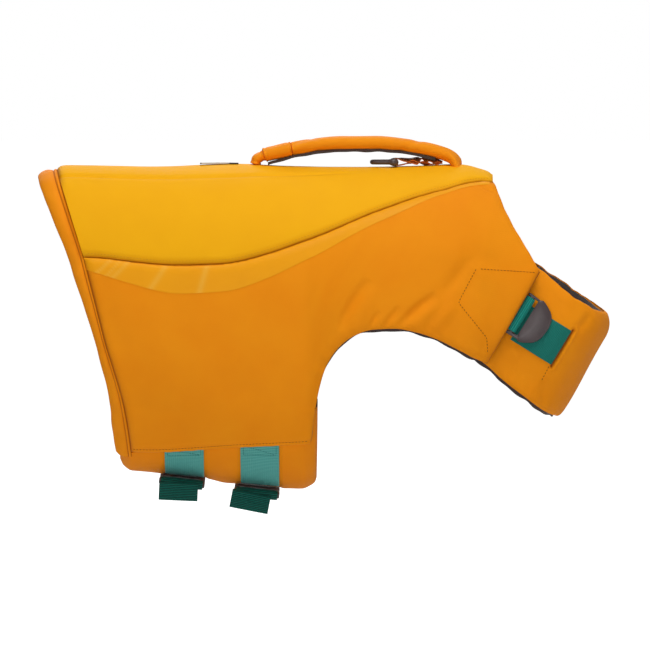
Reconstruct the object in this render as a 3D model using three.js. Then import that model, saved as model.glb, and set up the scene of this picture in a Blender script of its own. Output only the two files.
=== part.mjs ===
// Dog life jacket, filled out as when worn, with nobody in it: a hollow garment of foam panels, lining and
// webbing. Millimetres. +X points to the head, +Z up, and the side with -Y is the near one. The origin lies on
// the inner face of the back, where the wearer carries it.
import * as THREE from "three";

// Walls
const FOAM = 14; // back and side panels
const BELLY_FOAM = 12;
const HEM = 6; // depth of a free edge's inner face under the skin
const PUFF = 3.5; // how far the skin pulls in along a seam
const PUFF_REACH = 10;
const LINING_GAP = 0.6;
const LINING = 1.2;
const SEAM_GAP = 0.3;
const ROUNDNESS = 2.3; // exponent of the torso's superellipse sections

// Webbing and hard pieces
const WEBBING = 1.5;
const STRAP_WIDTH = 39;
const BUCKLE_WALL = 3.6;
const RING_WIRE = 4.8;

const table = (names, rows) =>
  rows.map((row) => Object.fromEntries(names.split(" ").map((name, i) => [name, row[i]])));

// Torso sections from the rear to the neck
const SECTIONS = table("x width crown keel", [
  [-264, 76, 16, -286],
  [-216, 84, 16, -290],
  [-164, 92, 16, -297],
  [-137, 96, 16, -300],
  [-97, 101, 17, -304.5],
  [-57, 104, 17, -310.5],
  [-18, 106, 15.5, -314.5],
  [10, 106, 15, -314.5],
  [60, 105, 14.6, -306],
  [120, 100, 14.8, -285],
  [160, 95, 17, -270],
  [184, 91, 13, -262],
  [199, 89, 7, -260],
  [222, 86, -9, -257],
  [244, 83, -21, -255],
]);

// Side panel: each row is a line across it, from the back seam or neck edge down to the hem or leg arch. band
// is the drop of the shiny band below the seam.
const SIDE = table("seamX seamZ lowX lowZ band", [
  [-216, -74, -169.5, -272, 12.6],
  [-210, -74.2, -165, -272.2, 14.5],
  [-195, -75, -152, -272.4, 18.5],
  [-174, -77.5, -136, -272, 22.5],
  [-125, -81.5, -97, -269, 28.5],
  [-77, -80, -60, -266, 27.5],
  [-34, -70.5, -21, -264, 24],
  [-2, -59.5, 9.5, -262, 20.5],
  [20, -51.5, 14.5, -232, 18.8],
  [40, -43, 19.5, -206, 17],
  [57, -35.5, 26, -185, 15.5],
  [74, -28.5, 38, -166, 14.2],
  [92, -22, 54, -153.5, 12.8],
  [110, -15.5, 73, -147.3, 11],
  [129, -9.8, 95, -146.5, 7.8],
  [148, -4.8, 117, -150.5, 6],
  [167, 0.5, 137, -158, 5.5],
  [184, 2.5, 153, -166, 5],
  [193, 2, 165, -173, 4.5],
  [199.5, -17, 174, -178.5, 4],
  [208, -37, 180, -181.5, 4],
  [222, -61, 184, -183.5, 4],
  [234, -79.7, 186.2, -184.2, 4],
  [240, -89, 187.5, -184.8, 4],
]);
const HEM_END = 7; // row where the hem turns up into the leg arch
const NECK_START = 18; // row where the back seam ends and the neck edge starts

// Rear seam and the strip beyond it, by height
const REAR = table("z seam strip", [
  [-276, -169, 13.5],
  [-256, -171, 17],
  [-236, -174, 16],
  [-216, -178, 14],
  [-196, -183.5, 13.5],
  [-156, -195.5, 11.5],
  [-136, -200.5, 12.5],
  [-96, -210.5, 15.5],
  [-74, -216, 16.5],
  [-36, -228, 19],
  [2, -240, 20],
  [17, -244, 19],
]);
const REAR_FADE = 150; // how far forward the panels follow the slant of the rear edge

// Back panel: shares of the way from the seam to the spine, with the crease beside the middle block of foam
const BACK_ROWS = [0, 0.08, 0.2, 0.36, 0.52, 0.63, 0.68, 0.73, 0.86, 1];
const CREASE = { row: 0.68, reach: 0.06, depth: 1.8, fadeFrom: -20, fadeTo: 70 };

// Neck band: u runs forward and down from the flap, w back and down from the top edge
const NECK = {
  x: 235,
  z: -80,
  tilt: THREE.MathUtils.degToRad(32),
  front: 102.5,
  bend: 45, // where the sides turn into the round front
  roundness: 2.2,
  flap: 9.5,
  lean: 14, // how far the top of the front leans in
  leanDepth: 27,
};
const NECK_WALL = { foam: 10, edge: 6, tucked: 4.5, puff: 3 }; // the tucked ends lie behind the flap
const NECK_WIDTHS = table("w width", [
  [0, 63],
  [40, 70.5],
  [80, 72.5],
  [121, 71],
]);
const NECK_ROWS = [1.5, 5, 14, 38.8, 58.5, 78.2, 96, 110, 117, 120.3];
const NECK_SIDE = [-2, 9.5, 21, 33];
const NECK_ANGLES = [90, 79, 68.6, 57, 44, 30, 15, 0];
const STRAP_ROWS = [3, 5]; // first and last row of the neck band under the strap
const STRAP_STATIONS = [2, 6]; // from the buckle to the slot

// Belly panel and straps
const BELLY_DEPTH = 8.4;
const BELLY = table("x sink tuck", [
  [-183, 11, -2],
  [-179, 4.5, -2],
  [-169.5, 1, -2],
  [-152, 0, 3.5],
  [-136, 0, 3.5],
  [-97, 0, 3.5],
  [-60, 0, 3.5],
  [-21, 0, 3.5],
  [3, 0.6, 3.5],
  [10, 3, 22],
  [15.5, 6, 33],
  [18, 11, 34],
]);
const BELLY_SINK = 11; // at the two ends
const BELLY_STEPS = 8;
const BELLY_EDGE = 1.8; // thickness left at the ends
const BELLY_STRAPS = [
  { name: "rear", from: -136, to: -97, middle: -118, tail: -121.5, tilt: 0 },
  { name: "front", from: -60, to: -21, middle: -43, tail: -48.5, tilt: 11 },
];
const STRAP_END = 6; // belly row where the near strap meets its buckle
const BUCKLE = {
  width: 46,
  plug: [-39, -2],
  socket: [-1.7, 37],
  bar: 3.5,
  slot: 5.5,
  thick: 10,
  plugThick: 6,
  loopWidth: 38.4,
};
const BUCKLE_DROP = 0.4; // from the belly to the top of the buckle

// Handle and what lies under it
const HANDLE = table("x z share", [
  [-45, 17.5, 1],
  [-44, 22, 1],
  [-36, 26.6, 1],
  [-22, 30, 1],
  [-9, 32.8, 1],
  [15, 36.6, 1],
  [45, 38.8, 1],
  [75, 39, 1],
  [105, 36.6, 1],
  [130, 31.8, 1],
  [146, 27, 0.95],
  [154, 23, 0.8],
  [157.3, 20, 0.65],
  [157.5, 17.4, 0.6],
]);
const GRIP = { halfWidth: 17, halfHeight: 6.2, from: 4, to: 13 };
const SLEEVE = { halfWidth: 17.6, halfHeight: 6.6, from: 2, to: 4 };
const ROOT = { halfWidth: 14, halfHeight: 4.5, from: 0, to: 2 };
const UNDERSIDE = { from: 4, to: 9, halfWidth: 13, thick: 1.6 };
const RING = { bar: 95.5, tip: 72.5, halfWidth: 16.5, z: 19, corner: 5 };
const TAPE = { from: -100, to: -62, halfWidth: 9, thick: 1.2 };

const COLOURS = {
  yellow: ["#f8b51e", 0.62],
  orange: ["#e0801b", 0.66],
  shiny: ["#e8a519", 0.38],
  strip: ["#d88224", 0.66],
  belly: ["#cc7612", 0.66],
  lining: ["#463c3a", 0.85],
  lightStrap: ["#3b7e7a", 0.6],
  darkStrap: ["#0f4641", 0.65],
  midStrap: ["#1c665c", 0.6],
  plastic: ["#504444", 0.42],
  ringLoop: ["#93410f", 0.7],
  tape: ["#cfcac0", 0.55],
};

const jacket = new THREE.Group();
const mix = THREE.MathUtils.lerp;
const clamp = THREE.MathUtils.clamp;
const power = (v, e) => Math.sign(v) * Math.abs(v) ** e;

function addMesh(name, colour, geometry) {
  const [color, roughness] = COLOURS[colour];
  const mesh = new THREE.Mesh(geometry, new THREE.MeshStandardMaterial({ color, roughness, metalness: 0 }));
  mesh.name = name;
  jacket.add(mesh);
}

// A smooth curve through one column of a table that never swings past its rows
function curveOf(rows, from, to) {
  const x = rows.map((row) => row[from]);
  const y = rows.map((row) => row[to]);
  const last = x.length - 1;
  const rise = x.slice(1).map((v, i) => (y[i + 1] - y[i]) / (v - x[i]));
  const slope = x.map((_, i) => {
    if (i === 0) return rise[0];
    if (i === last) return rise[last - 1];
    return rise[i - 1] * rise[i] <= 0 ? 0 : (2 * rise[i - 1] * rise[i]) / (rise[i - 1] + rise[i]);
  });
  return (value) => {
    const at = clamp(value, x[0], x[last]);
    const i = Math.max(0, Math.min(last - 1, x.findIndex((v, k) => k > 0 && at <= v) - 1));
    const span = x[i + 1] - x[i];
    const t = (at - x[i]) / span;
    const s = 1 - t;
    return (
      y[i] * s * s * (1 + 2 * t) +
      y[i + 1] * t * t * (1 + 2 * s) +
      span * (slope[i] * t * s * s - slope[i + 1] * t * t * s)
    );
  };
}

// A closed body between two grids of points with the same rows and columns
function between(outer, inner) {
  const rows = outer.length;
  const cols = outer[0].length;
  const points = [...outer.flat(), ...inner.flat()];
  const top = (r, c) => r * cols + c;
  const low = (r, c) => rows * cols + r * cols + c;
  const faces = [];
  const quad = (a, b, c, d) => faces.push([a, b, c], [a, c, d]);
  for (let r = 0; r + 1 < rows; r++)
    for (let c = 0; c + 1 < cols; c++) {
      quad(top(r, c), top(r, c + 1), top(r + 1, c + 1), top(r + 1, c));
      quad(low(r, c), low(r + 1, c), low(r + 1, c + 1), low(r, c + 1));
    }
  for (let r = 0; r + 1 < rows; r++) {
    quad(top(r, 0), top(r + 1, 0), low(r + 1, 0), low(r, 0));
    quad(top(r + 1, cols - 1), top(r, cols - 1), low(r, cols - 1), low(r + 1, cols - 1));
  }
  for (let c = 0; c + 1 < cols; c++) {
    quad(top(0, c + 1), top(0, c), low(0, c), low(0, c + 1));
    quad(top(rows - 1, c), top(rows - 1, c + 1), low(rows - 1, c + 1), low(rows - 1, c));
  }
  return closedGeometry(points, faces);
}

// A closed body from rings of points, with its two ends filled
function loft(rings) {
  const n = rings[0].length;
  const faces = [];
  for (let r = 0; r + 1 < rings.length; r++)
    for (let i = 0; i < n; i++) {
      const j = (i + 1) % n;
      faces.push([r * n + i, r * n + j, (r + 1) * n + j], [r * n + i, (r + 1) * n + j, (r + 1) * n + i]);
    }
  const end = (rings.length - 1) * n;
  for (let i = 1; i + 1 < n; i++) faces.push([0, i + 1, i], [end, end + i, end + i + 1]);
  return closedGeometry(rings.flat(), faces);
}

// The faces are turned round where they would enclose a negative volume
function closedGeometry(points, faces) {
  const volume = faces.reduce((sum, [a, b, c]) => {
    const side = new THREE.Vector3().crossVectors(points[b], points[c]);
    return sum + points[a].dot(side);
  }, 0);
  const index = faces.flatMap(([a, b, c]) => (volume < 0 ? [a, c, b] : [a, b, c]));
  return new THREE.BufferGeometry().setFromPoints(points).setIndex(index);
}

const mirrored = (grid) => grid.map((row) => row.map((p) => new THREE.Vector3(p.x, -p.y, p.z)));

function addPair(name, colour, outer, inner) {
  addMesh(name + "_near", colour, between(outer, inner));
  addMesh(name + "_far", colour, between(mirrored(outer), mirrored(inner)));
}

// Torso skin
const widthAt = curveOf(SECTIONS, "x", "width");
const crownAt = curveOf(SECTIONS, "x", "crown");
const keelAt = curveOf(SECTIONS, "x", "keel");
const middleAt = (x) => (crownAt(x) + keelAt(x)) / 2;
const heightAt = (x) => (crownAt(x) - keelAt(x)) / 2;

// Angle round a section: -90 degrees at the keel, 0 at the near side, 90 at the spine, more on the far side
const angleOf = (x, z) => Math.asin(power(clamp((z - middleAt(x)) / heightAt(x), -1, 1), ROUNDNESS / 2));

function skinNormal(x, y, z) {
  const fill = (at) =>
    Math.abs(y / widthAt(at)) ** ROUNDNESS + Math.abs((z - middleAt(at)) / heightAt(at)) ** ROUNDNESS;
  const across = y / widthAt(x);
  const up = (z - middleAt(x)) / heightAt(x);
  return new THREE.Vector3(
    (fill(x + 1) - fill(x - 1)) / 2,
    (ROUNDNESS * power(across, ROUNDNESS - 1)) / widthAt(x),
    (ROUNDNESS * power(up, ROUNDNESS - 1)) / heightAt(x),
  ).normalize();
}

// A point under the skin by depth
function skinPoint(x, angle, depth) {
  const y = -widthAt(x) * power(Math.cos(angle), 2 / ROUNDNESS);
  const z = middleAt(x) + heightAt(x) * power(Math.sin(angle), 2 / ROUNDNESS);
  return new THREE.Vector3(x, y, z).addScaledVector(skinNormal(x, y, z), -depth);
}

// Edges of the panels in the side view, and how far a point lies from them
const lowLine = SIDE.map((row) => new THREE.Vector2(row.lowX, row.lowZ));
const seamLine = SIDE.map((row) => new THREE.Vector2(row.seamX, row.seamZ));
const hemEdge = lowLine.slice(0, HEM_END + 1);
const archEdge = lowLine.slice(HEM_END);
const flapEdge = [seamLine.at(-1), lowLine.at(-1)];
const neckEdge = [new THREE.Vector2(192, 24), ...seamLine.slice(NECK_START)];
const rearEdge = REAR.map((row) => new THREE.Vector2(row.seam, row.z));

function distanceTo(line, x, z) {
  const point = new THREE.Vector2(x, z);
  let nearest = Infinity;
  for (let i = 0; i + 1 < line.length; i++) {
    const along = line[i + 1].clone().sub(line[i]);
    const share = clamp(point.clone().sub(line[i]).dot(along) / along.lengthSq(), 0, 1);
    nearest = Math.min(nearest, point.distanceTo(line[i].clone().addScaledVector(along, share)));
  }
  return nearest;
}

// 1 at an edge, rounding to 0 at the reach
const roundOff = (distance, reach) => 1 - Math.sqrt(1 - clamp(1 - distance / reach, 0, 1) ** 2);

// 1 up to the end of the hem, then falling to 0 where the foam is full
const thinning = (distance, hem, reach) => clamp((reach - distance) / (reach - hem), 0, 1) ** 2;

function outerDepth(x, z, seamDistance) {
  const edges = [hemEdge, archEdge, flapEdge, neckEdge, rearEdge].map((line) => distanceTo(line, x, z));
  return PUFF * roundOff(Math.min(seamDistance, ...edges), PUFF_REACH);
}

function innerDepth(x, z) {
  const thin = Math.max(
    thinning(distanceTo(hemEdge, x, z), 6, 24),
    thinning(distanceTo(archEdge, x, z), 6, 24),
    thinning(distanceTo(flapEdge, x, z), 14, 32),
    thinning(distanceTo(neckEdge, x, z), 3, 20),
  );
  return FOAM - (FOAM - HEM) * thin;
}

// Side panels
const rearAt = curveOf(REAR, "z", "seam");
const rearShare = (row) => clamp(1 - (row.seamX - SIDE[0].seamX) / REAR_FADE, 0, 1);
const rearChord = (z) =>
  mix(SIDE[0].seamX, SIDE[0].lowX, (SIDE[0].seamZ - z) / (SIDE[0].seamZ - SIDE[0].lowZ));

function sideX(row, z) {
  const share = (row.seamZ - z) / (row.seamZ - row.lowZ);
  const bow = rearAt(z) - rearChord(z) - (rearAt(row.seamZ) - rearChord(row.seamZ));
  return mix(row.seamX, row.lowX, share) + rearShare(row) * bow;
}

// Drops below the seam of the points across the panel: the shiny band's rows, the open stretch, then the hem
function sideDrops(row) {
  const length = row.seamZ - row.lowZ;
  const middle = [0.18, 0.36, 0.54, 0.72, 0.87].map((share) => mix(row.band, length - 26, share));
  return [0, row.band / 2, row.band, ...middle, length - 26, length - 13, length - 4, length];
}

const sideSpots = SIDE.map((row) =>
  sideDrops(row).map((drop) => {
    const z = row.seamZ - drop;
    const x = sideX(row, z);
    return { x, z, angle: angleOf(x, z), drop };
  }),
);
const onSide = (depthOf) => sideSpots.map((row) => row.map((s) => skinPoint(s.x, s.angle, depthOf(s))));
const seamSlip = SEAM_GAP / 100; // the gap at the back seam as an angle on a section about 100 mm in radius

const sideOuter = onSide((s) => outerDepth(s.x, s.z, s.drop));
const sideInner = onSide((s) => innerDepth(s.x, s.z));
addPair("side_panel", "orange", sideOuter, sideInner);

// The shiny band is moved out from the side panel's own points
const BAND_LIFT = 0.4;
const BAND_CLOTH = 1;
const bandOf = (lift) =>
  onSide((s) => outerDepth(s.x, s.z, s.drop) - lift)
    .slice(0, NECK_START)
    .map((row) => row.slice(0, 3));
addPair("reflective_band", "shiny", bandOf(BAND_LIFT + BAND_CLOTH), bandOf(BAND_LIFT));

// The lining under a side panel ends above the hem, where the belly panel tucks in, and shows below the leg arch
const LINING_SHOWS = 2.2;
const LINING_SHORT = 15;
const liningSpots = SIDE.map((row, c) =>
  sideDrops(row).map((drop, r, drops) => {
    const end = drops.length - 3;
    const bare = c <= HEM_END;
    const reach = bare ? LINING_SHORT - (r - end) : 0;
    const low = row.seamZ - row.lowZ;
    const last = r === drops.length - 1;
    const at = bare && r > end - 1 ? low - reach : last ? low + LINING_SHOWS : drop;
    const z = row.seamZ - at;
    const x = sideX(row, z);
    return { x, z, angle: angleOf(x, z) };
  }),
);
const underSide = (gap) =>
  liningSpots.map((row) => row.map((s) => skinPoint(s.x, s.angle, innerDepth(s.x, s.z) + gap)));
addPair("lining_side", "lining", underSide(LINING_GAP), underSide(LINING_GAP + LINING));

// Back panel, from the near seam over the spine to the far seam
const backSpots = SIDE.slice(0, NECK_START + 1).map((row) => {
  const near = angleOf(row.seamX, row.seamZ) + seamSlip;
  const half = BACK_ROWS.map((share) => {
    const angle = mix(near, Math.PI / 2, share);
    const z = middleAt(row.seamX) + heightAt(row.seamX) * power(Math.sin(angle), 2 / ROUNDNESS);
    const x = row.seamX + rearShare(row) * (rearAt(z) - rearAt(row.seamZ));
    const seam = skinPoint(row.seamX, near, 0);
    return { x, z, angle, share, far: skinPoint(x, angle, 0).distanceTo(seam) };
  });
  const other = half.slice(0, -1).reverse();
  return [...half, ...other.map((s) => ({ ...s, angle: Math.PI - s.angle }))];
});

function creaseDepth(s) {
  const fade = clamp((CREASE.fadeTo - s.x) / (CREASE.fadeTo - CREASE.fadeFrom), 0, 1);
  return CREASE.depth * fade * Math.max(0, 1 - Math.abs(s.share - CREASE.row) / CREASE.reach);
}

const onBack = (depthOf) => backSpots.map((row) => row.map((s) => skinPoint(s.x, s.angle, depthOf(s))));
const backOuterDepth = (s) =>
  Math.max(PUFF * roundOff(s.far, PUFF_REACH), outerDepth(s.x, Math.max(s.z, 4), Infinity)) + creaseDepth(s);
addMesh("back_panel", "yellow", between(onBack(backOuterDepth), onBack((s) => innerDepth(s.x, s.z))));
addMesh(
  "lining_back",
  "lining",
  between(
    onBack((s) => innerDepth(s.x, s.z) + LINING_GAP),
    onBack((s) => innerDepth(s.x, s.z) + LINING_GAP + LINING),
  ),
);

// Rear strip: a rounded section swept round the rear edge of the three panels. reach is a share of its width
const STRIP_SECTION = table("reach depth", [
  [0, 5.2],
  [0.4, 4.8],
  [0.72, 6.2],
  [0.93, 8.6],
  [1, 11],
  [0.9, 13.4],
  [0.6, 14.6],
  [0, 14.4],
]);
const stripWidth = curveOf(REAR, "z", "strip");
const nearRear = sideSpots[0].slice().reverse();
const rearPath = [...nearRear, ...backSpots[0].slice(1, -1)];
const farRear = sideSpots[0].map((s) => ({ ...s, angle: Math.PI - s.angle }));
addMesh(
  "rear_edge_band",
  "strip",
  loft(
    [...rearPath, ...farRear].map((s) =>
      STRIP_SECTION.map(({ reach, depth }) =>
        skinPoint(s.x, s.angle, depth).add(new THREE.Vector3(-SEAM_GAP - reach * stripWidth(s.z), 0, 0)),
      ),
    ),
  ),
);

// Belly panel, a cradle from under the near hem round the keel to under the far hem
const hemAt = curveOf(SIDE.slice(0, HEM_END + 1), "lowX", "lowZ");
const bellySpots = BELLY.map(({ x, sink, tuck }) => {
  const start = angleOf(x, hemAt(x) + tuck);
  const half = [];
  for (let i = 0; i <= BELLY_STEPS; i++)
    half.push({ x, sink, angle: mix(start, -Math.PI / 2, i / BELLY_STEPS) });
  const other = half.slice(0, -1).reverse();
  return [...half, ...other.map((s) => ({ ...s, angle: -Math.PI - s.angle }))];
});
const onBelly = (spots, depthOf) => spots.map((row) => row.map((s) => skinPoint(s.x, s.angle, depthOf(s))));
const bellyOuter = (s) => BELLY_DEPTH + s.sink;
const bellyInner = (s) => {
  const foam = mix(BELLY_FOAM, BELLY_FOAM / 2, (s.sink / BELLY_SINK) ** 2);
  return BELLY_DEPTH + Math.max(s.sink + BELLY_EDGE, foam);
};
addMesh("belly_panel", "belly", between(onBelly(bellySpots, bellyOuter), onBelly(bellySpots, bellyInner)));
addMesh(
  "lining_belly",
  "lining",
  between(
    onBelly(bellySpots, (s) => bellyInner(s) + LINING_GAP),
    onBelly(bellySpots, (s) => bellyInner(s) + LINING_GAP + LINING),
  ),
);

// A strip of webbing with its edge drawn along a line of points, and how wide it is
function ribbon(line, thick) {
  const points = line.map(([a, b]) => new THREE.Vector2(a, b));
  const sides = points.map((point, i) => {
    const before = points[Math.max(0, i - 1)];
    const after = points[Math.min(points.length - 1, i + 1)];
    const into = point.clone().sub(before).normalize();
    const out = after.clone().sub(point).normalize();
    const along = into.add(out).normalize();
    const turn = Math.max(0.5, Math.abs(along.dot(out.lengthSq() > 0 ? out : along)));
    return new THREE.Vector2(-along.y, along.x).multiplyScalar(thick / 2 / turn);
  });
  const left = points.map((point, i) => point.clone().add(sides[i]));
  const right = points.map((point, i) => point.clone().sub(sides[i]));
  return new THREE.Shape([...left, ...right.reverse()]);
}

// Places an extrusion: its own x, y and z run along the three given directions from the given point
function placed(geometry, along, up, out, from) {
  return geometry.applyMatrix4(new THREE.Matrix4().makeBasis(along, up, out).setPosition(from));
}
const extruded = (shape, depth) =>
  new THREE.ExtrudeGeometry(shape, { depth, bevelEnabled: false, curveSegments: 8 });

// The bodies below come from extrusions, whose corners are shared by position
function addPiece(name, colour, geometry) {
  geometry.deleteAttribute("normal");
  geometry.deleteAttribute("uv");
  addMesh(name, colour, geometry);
}

const X = new THREE.Vector3(1, 0, 0);
const Y = new THREE.Vector3(0, 1, 0);
const Z = new THREE.Vector3(0, 0, 1);

// Outline of a buckle half, with a slot that leaves a bar at its end
function buckleOutline(width, inner, outer, bar, slot) {
  const side = Math.sign(outer - inner);
  const half = width / 2;
  const shape = new THREE.Shape([
    new THREE.Vector2(-half + 3, inner),
    new THREE.Vector2(half - 3, inner),
    new THREE.Vector2(half, inner + side * 8),
    new THREE.Vector2(half, outer - side * 3),
    new THREE.Vector2(half - 3, outer),
    new THREE.Vector2(-half + 3, outer),
    new THREE.Vector2(-half, outer - side * 3),
    new THREE.Vector2(-half, inner + side * 8),
  ]);
  const near = outer - side * bar;
  const far = near - side * slot;
  shape.holes.push(
    new THREE.Path([
      new THREE.Vector2(-half + 3, near),
      new THREE.Vector2(half - 3, near),
      new THREE.Vector2(half - 3, far),
      new THREE.Vector2(-half + 3, far),
    ]),
  );
  return shape;
}

for (const strap of BELLY_STRAPS) {
  const columns = bellySpots.filter(([s]) => s.x === strap.from || s.x === strap.to);
  const half = columns.map((row) => row.slice(0, STRAP_END + 1));
  const lift = (gap) => onBelly(half, (s) => bellyOuter(s) - gap);
  addPair("belly_strap_" + strap.name, "lightStrap", lift(SEAM_GAP + WEBBING), lift(SEAM_GAP));

  // The buckle is drawn round the middle of the strap, with z from the belly, then laid along the belly's slope
  const slope = Math.atan2(keelAt(strap.from) - keelAt(strap.to), strap.to - strap.from);
  const bellyZ = keelAt(strap.middle) + BELLY_DEPTH;
  const settled = (geometry) => geometry.rotateY(slope).translate(strap.middle, 0, bellyZ);
  const drawn = (shape, thick, z) =>
    settled(placed(extruded(shape, thick), X, Y, Z, new THREE.Vector3(0, 0, z)));
  const { width, plug, socket, bar, slot, thick, plugThick, loopWidth } = BUCKLE;
  const top = -BUCKLE_DROP;
  const plugTop = top - (thick - plugThick) / 2;
  const plugLow = plugTop - plugThick;
  const plugShape = buckleOutline(width, plug[1], plug[0], bar, slot);
  const socketShape = buckleOutline(width, socket[0], socket[1], bar, slot);
  addPiece("belly_buckle_" + strap.name + "_plug", "plastic", drawn(plugShape, plugThick, plugLow));
  addPiece("belly_buckle_" + strap.name + "_socket", "plastic", drawn(socketShape, thick, top - thick));

  // Webbing round the bar of each half, open towards the middle, drawn in y and z
  const across = (line, strapWidth) =>
    placed(extruded(ribbon(line, WEBBING), strapWidth), Y, Z, X, new THREE.Vector3(-strapWidth / 2, 0, 0));
  const gap = WEBBING / 2 + SEAM_GAP;
  const loopRound = (outer, side, upper, lower) => [
    [outer - side * (bar + 2), upper + gap],
    [outer + side * SEAM_GAP, upper + gap],
    [outer + side * gap, upper + SEAM_GAP],
    [outer + side * gap, lower - SEAM_GAP],
    [outer + side * SEAM_GAP, lower - gap],
    [outer - side * (bar + 2), lower - gap],
  ];
  const nearLoop = across(loopRound(plug[0], -1, plugTop, plugLow), loopWidth);
  const farLoop = across(loopRound(socket[1], 1, top, top - thick), loopWidth);
  addPiece("belly_loop_" + strap.name + "_near", "darkStrap", settled(nearLoop));
  addPiece("belly_loop_" + strap.name + "_far", "darkStrap", settled(farLoop));

  // The hanging end of the webbing, folded over in front of the loop
  const out = plug[0] - 2 * gap;
  const tail = [
    [out - 0.8, plugLow - 3],
    [out - 0.8, plugTop - 3.5],
    [out - 2.4, plugTop - 2],
    [out - 4, plugTop - 3.5],
    [out - 4.4, plugTop - 12],
    [out - 3.4, plugTop - 20],
  ];
  const fold = plugTop - 3;
  const hanging = across(tail, STRAP_WIDTH).translate(0, 0, -fold);
  hanging.rotateY(THREE.MathUtils.degToRad(strap.tilt)).translate(strap.tail, 0, bellyZ + fold);
  addPiece("belly_tail_" + strap.name, "darkStrap", hanging);
}

// Neck band
const neckWidth = curveOf(NECK_WIDTHS, "w", "width");
const forward = new THREE.Vector3(Math.cos(NECK.tilt), 0, -Math.sin(NECK.tilt));
const downward = new THREE.Vector3(-Math.sin(NECK.tilt), 0, -Math.cos(NECK.tilt));
const neckFront = (w) => NECK.front - NECK.lean * clamp(1 - w / NECK.leanDepth, 0, 1) ** 2;

// u and y of the band's path at a station, before it is moved in by the depth
function neckPath(station, w) {
  const width = neckWidth(w);
  if (station.u !== undefined) return { u: station.u, y: -width, side: station.far ? -1 : 1 };
  const angle = THREE.MathUtils.degToRad(station.angle);
  const reach = neckFront(w) - NECK.bend;
  return {
    u: NECK.bend + reach * power(Math.cos(angle), 2 / NECK.roundness),
    y: -width * power(Math.sin(angle), 2 / NECK.roundness),
    side: 1,
  };
}

function neckPoint(station, w, depth) {
  const { u, y, side } = neckPath(station, w);
  const inward = new THREE.Vector3(0, 1, 0);
  if (station.u === undefined) {
    const reach = neckFront(w) - NECK.bend;
    const slopeU = power((u - NECK.bend) / reach, NECK.roundness - 1) / reach;
    const slopeY = power(y / neckWidth(w), NECK.roundness - 1) / neckWidth(w);
    inward.set(0, -slopeY, 0).addScaledVector(forward, -slopeU).normalize();
  }
  const point = new THREE.Vector3(NECK.x, y, NECK.z)
    .addScaledVector(forward, u)
    .addScaledVector(downward, w)
    .addScaledVector(inward, depth);
  point.y *= side;
  return point;
}

const neckStations = [
  ...NECK_SIDE.map((u) => ({ u })),
  ...NECK_ANGLES.map((angle) => ({ angle })),
  ...NECK_ANGLES.slice(0, -1).reverse().map((angle) => ({ angle: -angle })),
  ...NECK_SIDE.slice().reverse().map((u) => ({ u, far: true })),
];
const neckEnds = [NECK_ROWS[0], NECK_ROWS.at(-1)];
const neckEdgeDistance = (w) => Math.min(w - neckEnds[0], neckEnds[1] - w);
const neckOuter = (w) => NECK_WALL.puff * roundOff(neckEdgeDistance(w), PUFF_REACH);
const tucked = (station) => station.u !== undefined && station.u < NECK.flap + 1;
const neckFoam = (w) => mix(NECK_WALL.foam, NECK_WALL.edge, thinning(neckEdgeDistance(w), 1, 12));
const neckInner = (station, w) => (tucked(station) ? NECK_WALL.tucked : neckFoam(w));
const onNeck = (rows, depthOf) =>
  neckStations.map((station) => rows.map((w) => neckPoint(station, w, depthOf(station, w))));
addMesh(
  "neck_band",
  "orange",
  between(onNeck(NECK_ROWS, (station, w) => neckOuter(w)), onNeck(NECK_ROWS, neckInner)),
);
const neckLiningRows = [
  neckEnds[0] - LINING_SHOWS,
  ...NECK_ROWS.slice(1, -1),
  neckEnds[1] + LINING_SHOWS,
];
const underNeck = (gap) =>
  onNeck(neckLiningRows, (station, w) => neckInner(station, clamp(w, ...neckEnds)) + gap);
addMesh("lining_neck", "lining", between(underNeck(LINING_GAP), underNeck(LINING_GAP + LINING)));

// Neck strap on the band's own points, from under the buckle to the slot
const strapRows = NECK_ROWS.slice(STRAP_ROWS[0], STRAP_ROWS[1] + 1);
const strapStations = neckStations.slice(STRAP_STATIONS[0], STRAP_STATIONS[1] + 1);
const strapGrid = (lift) => strapStations.map((station) => strapRows.map((w) => neckPoint(station, w, -lift)));
addPair("neck_strap", "midStrap", strapGrid(SEAM_GAP + WEBBING), strapGrid(SEAM_GAP));

// Ladder-lock buckle and the ribbed loop round its bar, drawn along the band in u and across it in w
const LADDER = table("u w", [
  [10.4, 28.2],
  [24.5, 29.4],
  [36, 32.4],
  [43, 38.5],
  [45.6, 47.5],
  [45, 58],
  [42.6, 65.5],
  [37, 71.3],
  [25, 74.8],
  [10.4, 74.9],
  [10.4, 71.6],
  [13.6, 71.6],
  [13.6, 31],
  [10.4, 31],
]);
const WINDOW = { from: 16.6, to: 25, top: 31.4, low: 71.2 };
const BUCKLE_LIFT = SEAM_GAP * 3 + WEBBING + 0.6;
const ladder = new THREE.Shape(LADDER.map((p) => new THREE.Vector2(p.u, p.w)));
ladder.holes.push(
  new THREE.Path([
    new THREE.Vector2(WINDOW.from, WINDOW.top),
    new THREE.Vector2(WINDOW.to, WINDOW.top),
    new THREE.Vector2(WINDOW.to, WINDOW.low),
    new THREE.Vector2(WINDOW.from, WINDOW.low),
  ]),
);
const ladderLoop = [
  [3, -1.2],
  [16.6, -1.2],
  [18.3, -0.2],
  [18.3, BUCKLE_WALL + 0.3],
  [16.6, BUCKLE_WALL + 1.4],
  [13.4, BUCKLE_WALL + 1.4],
  [11.8, BUCKLE_WALL - 0.4],
  [10.4, 0.9],
  [3, 0.9],
];
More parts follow.
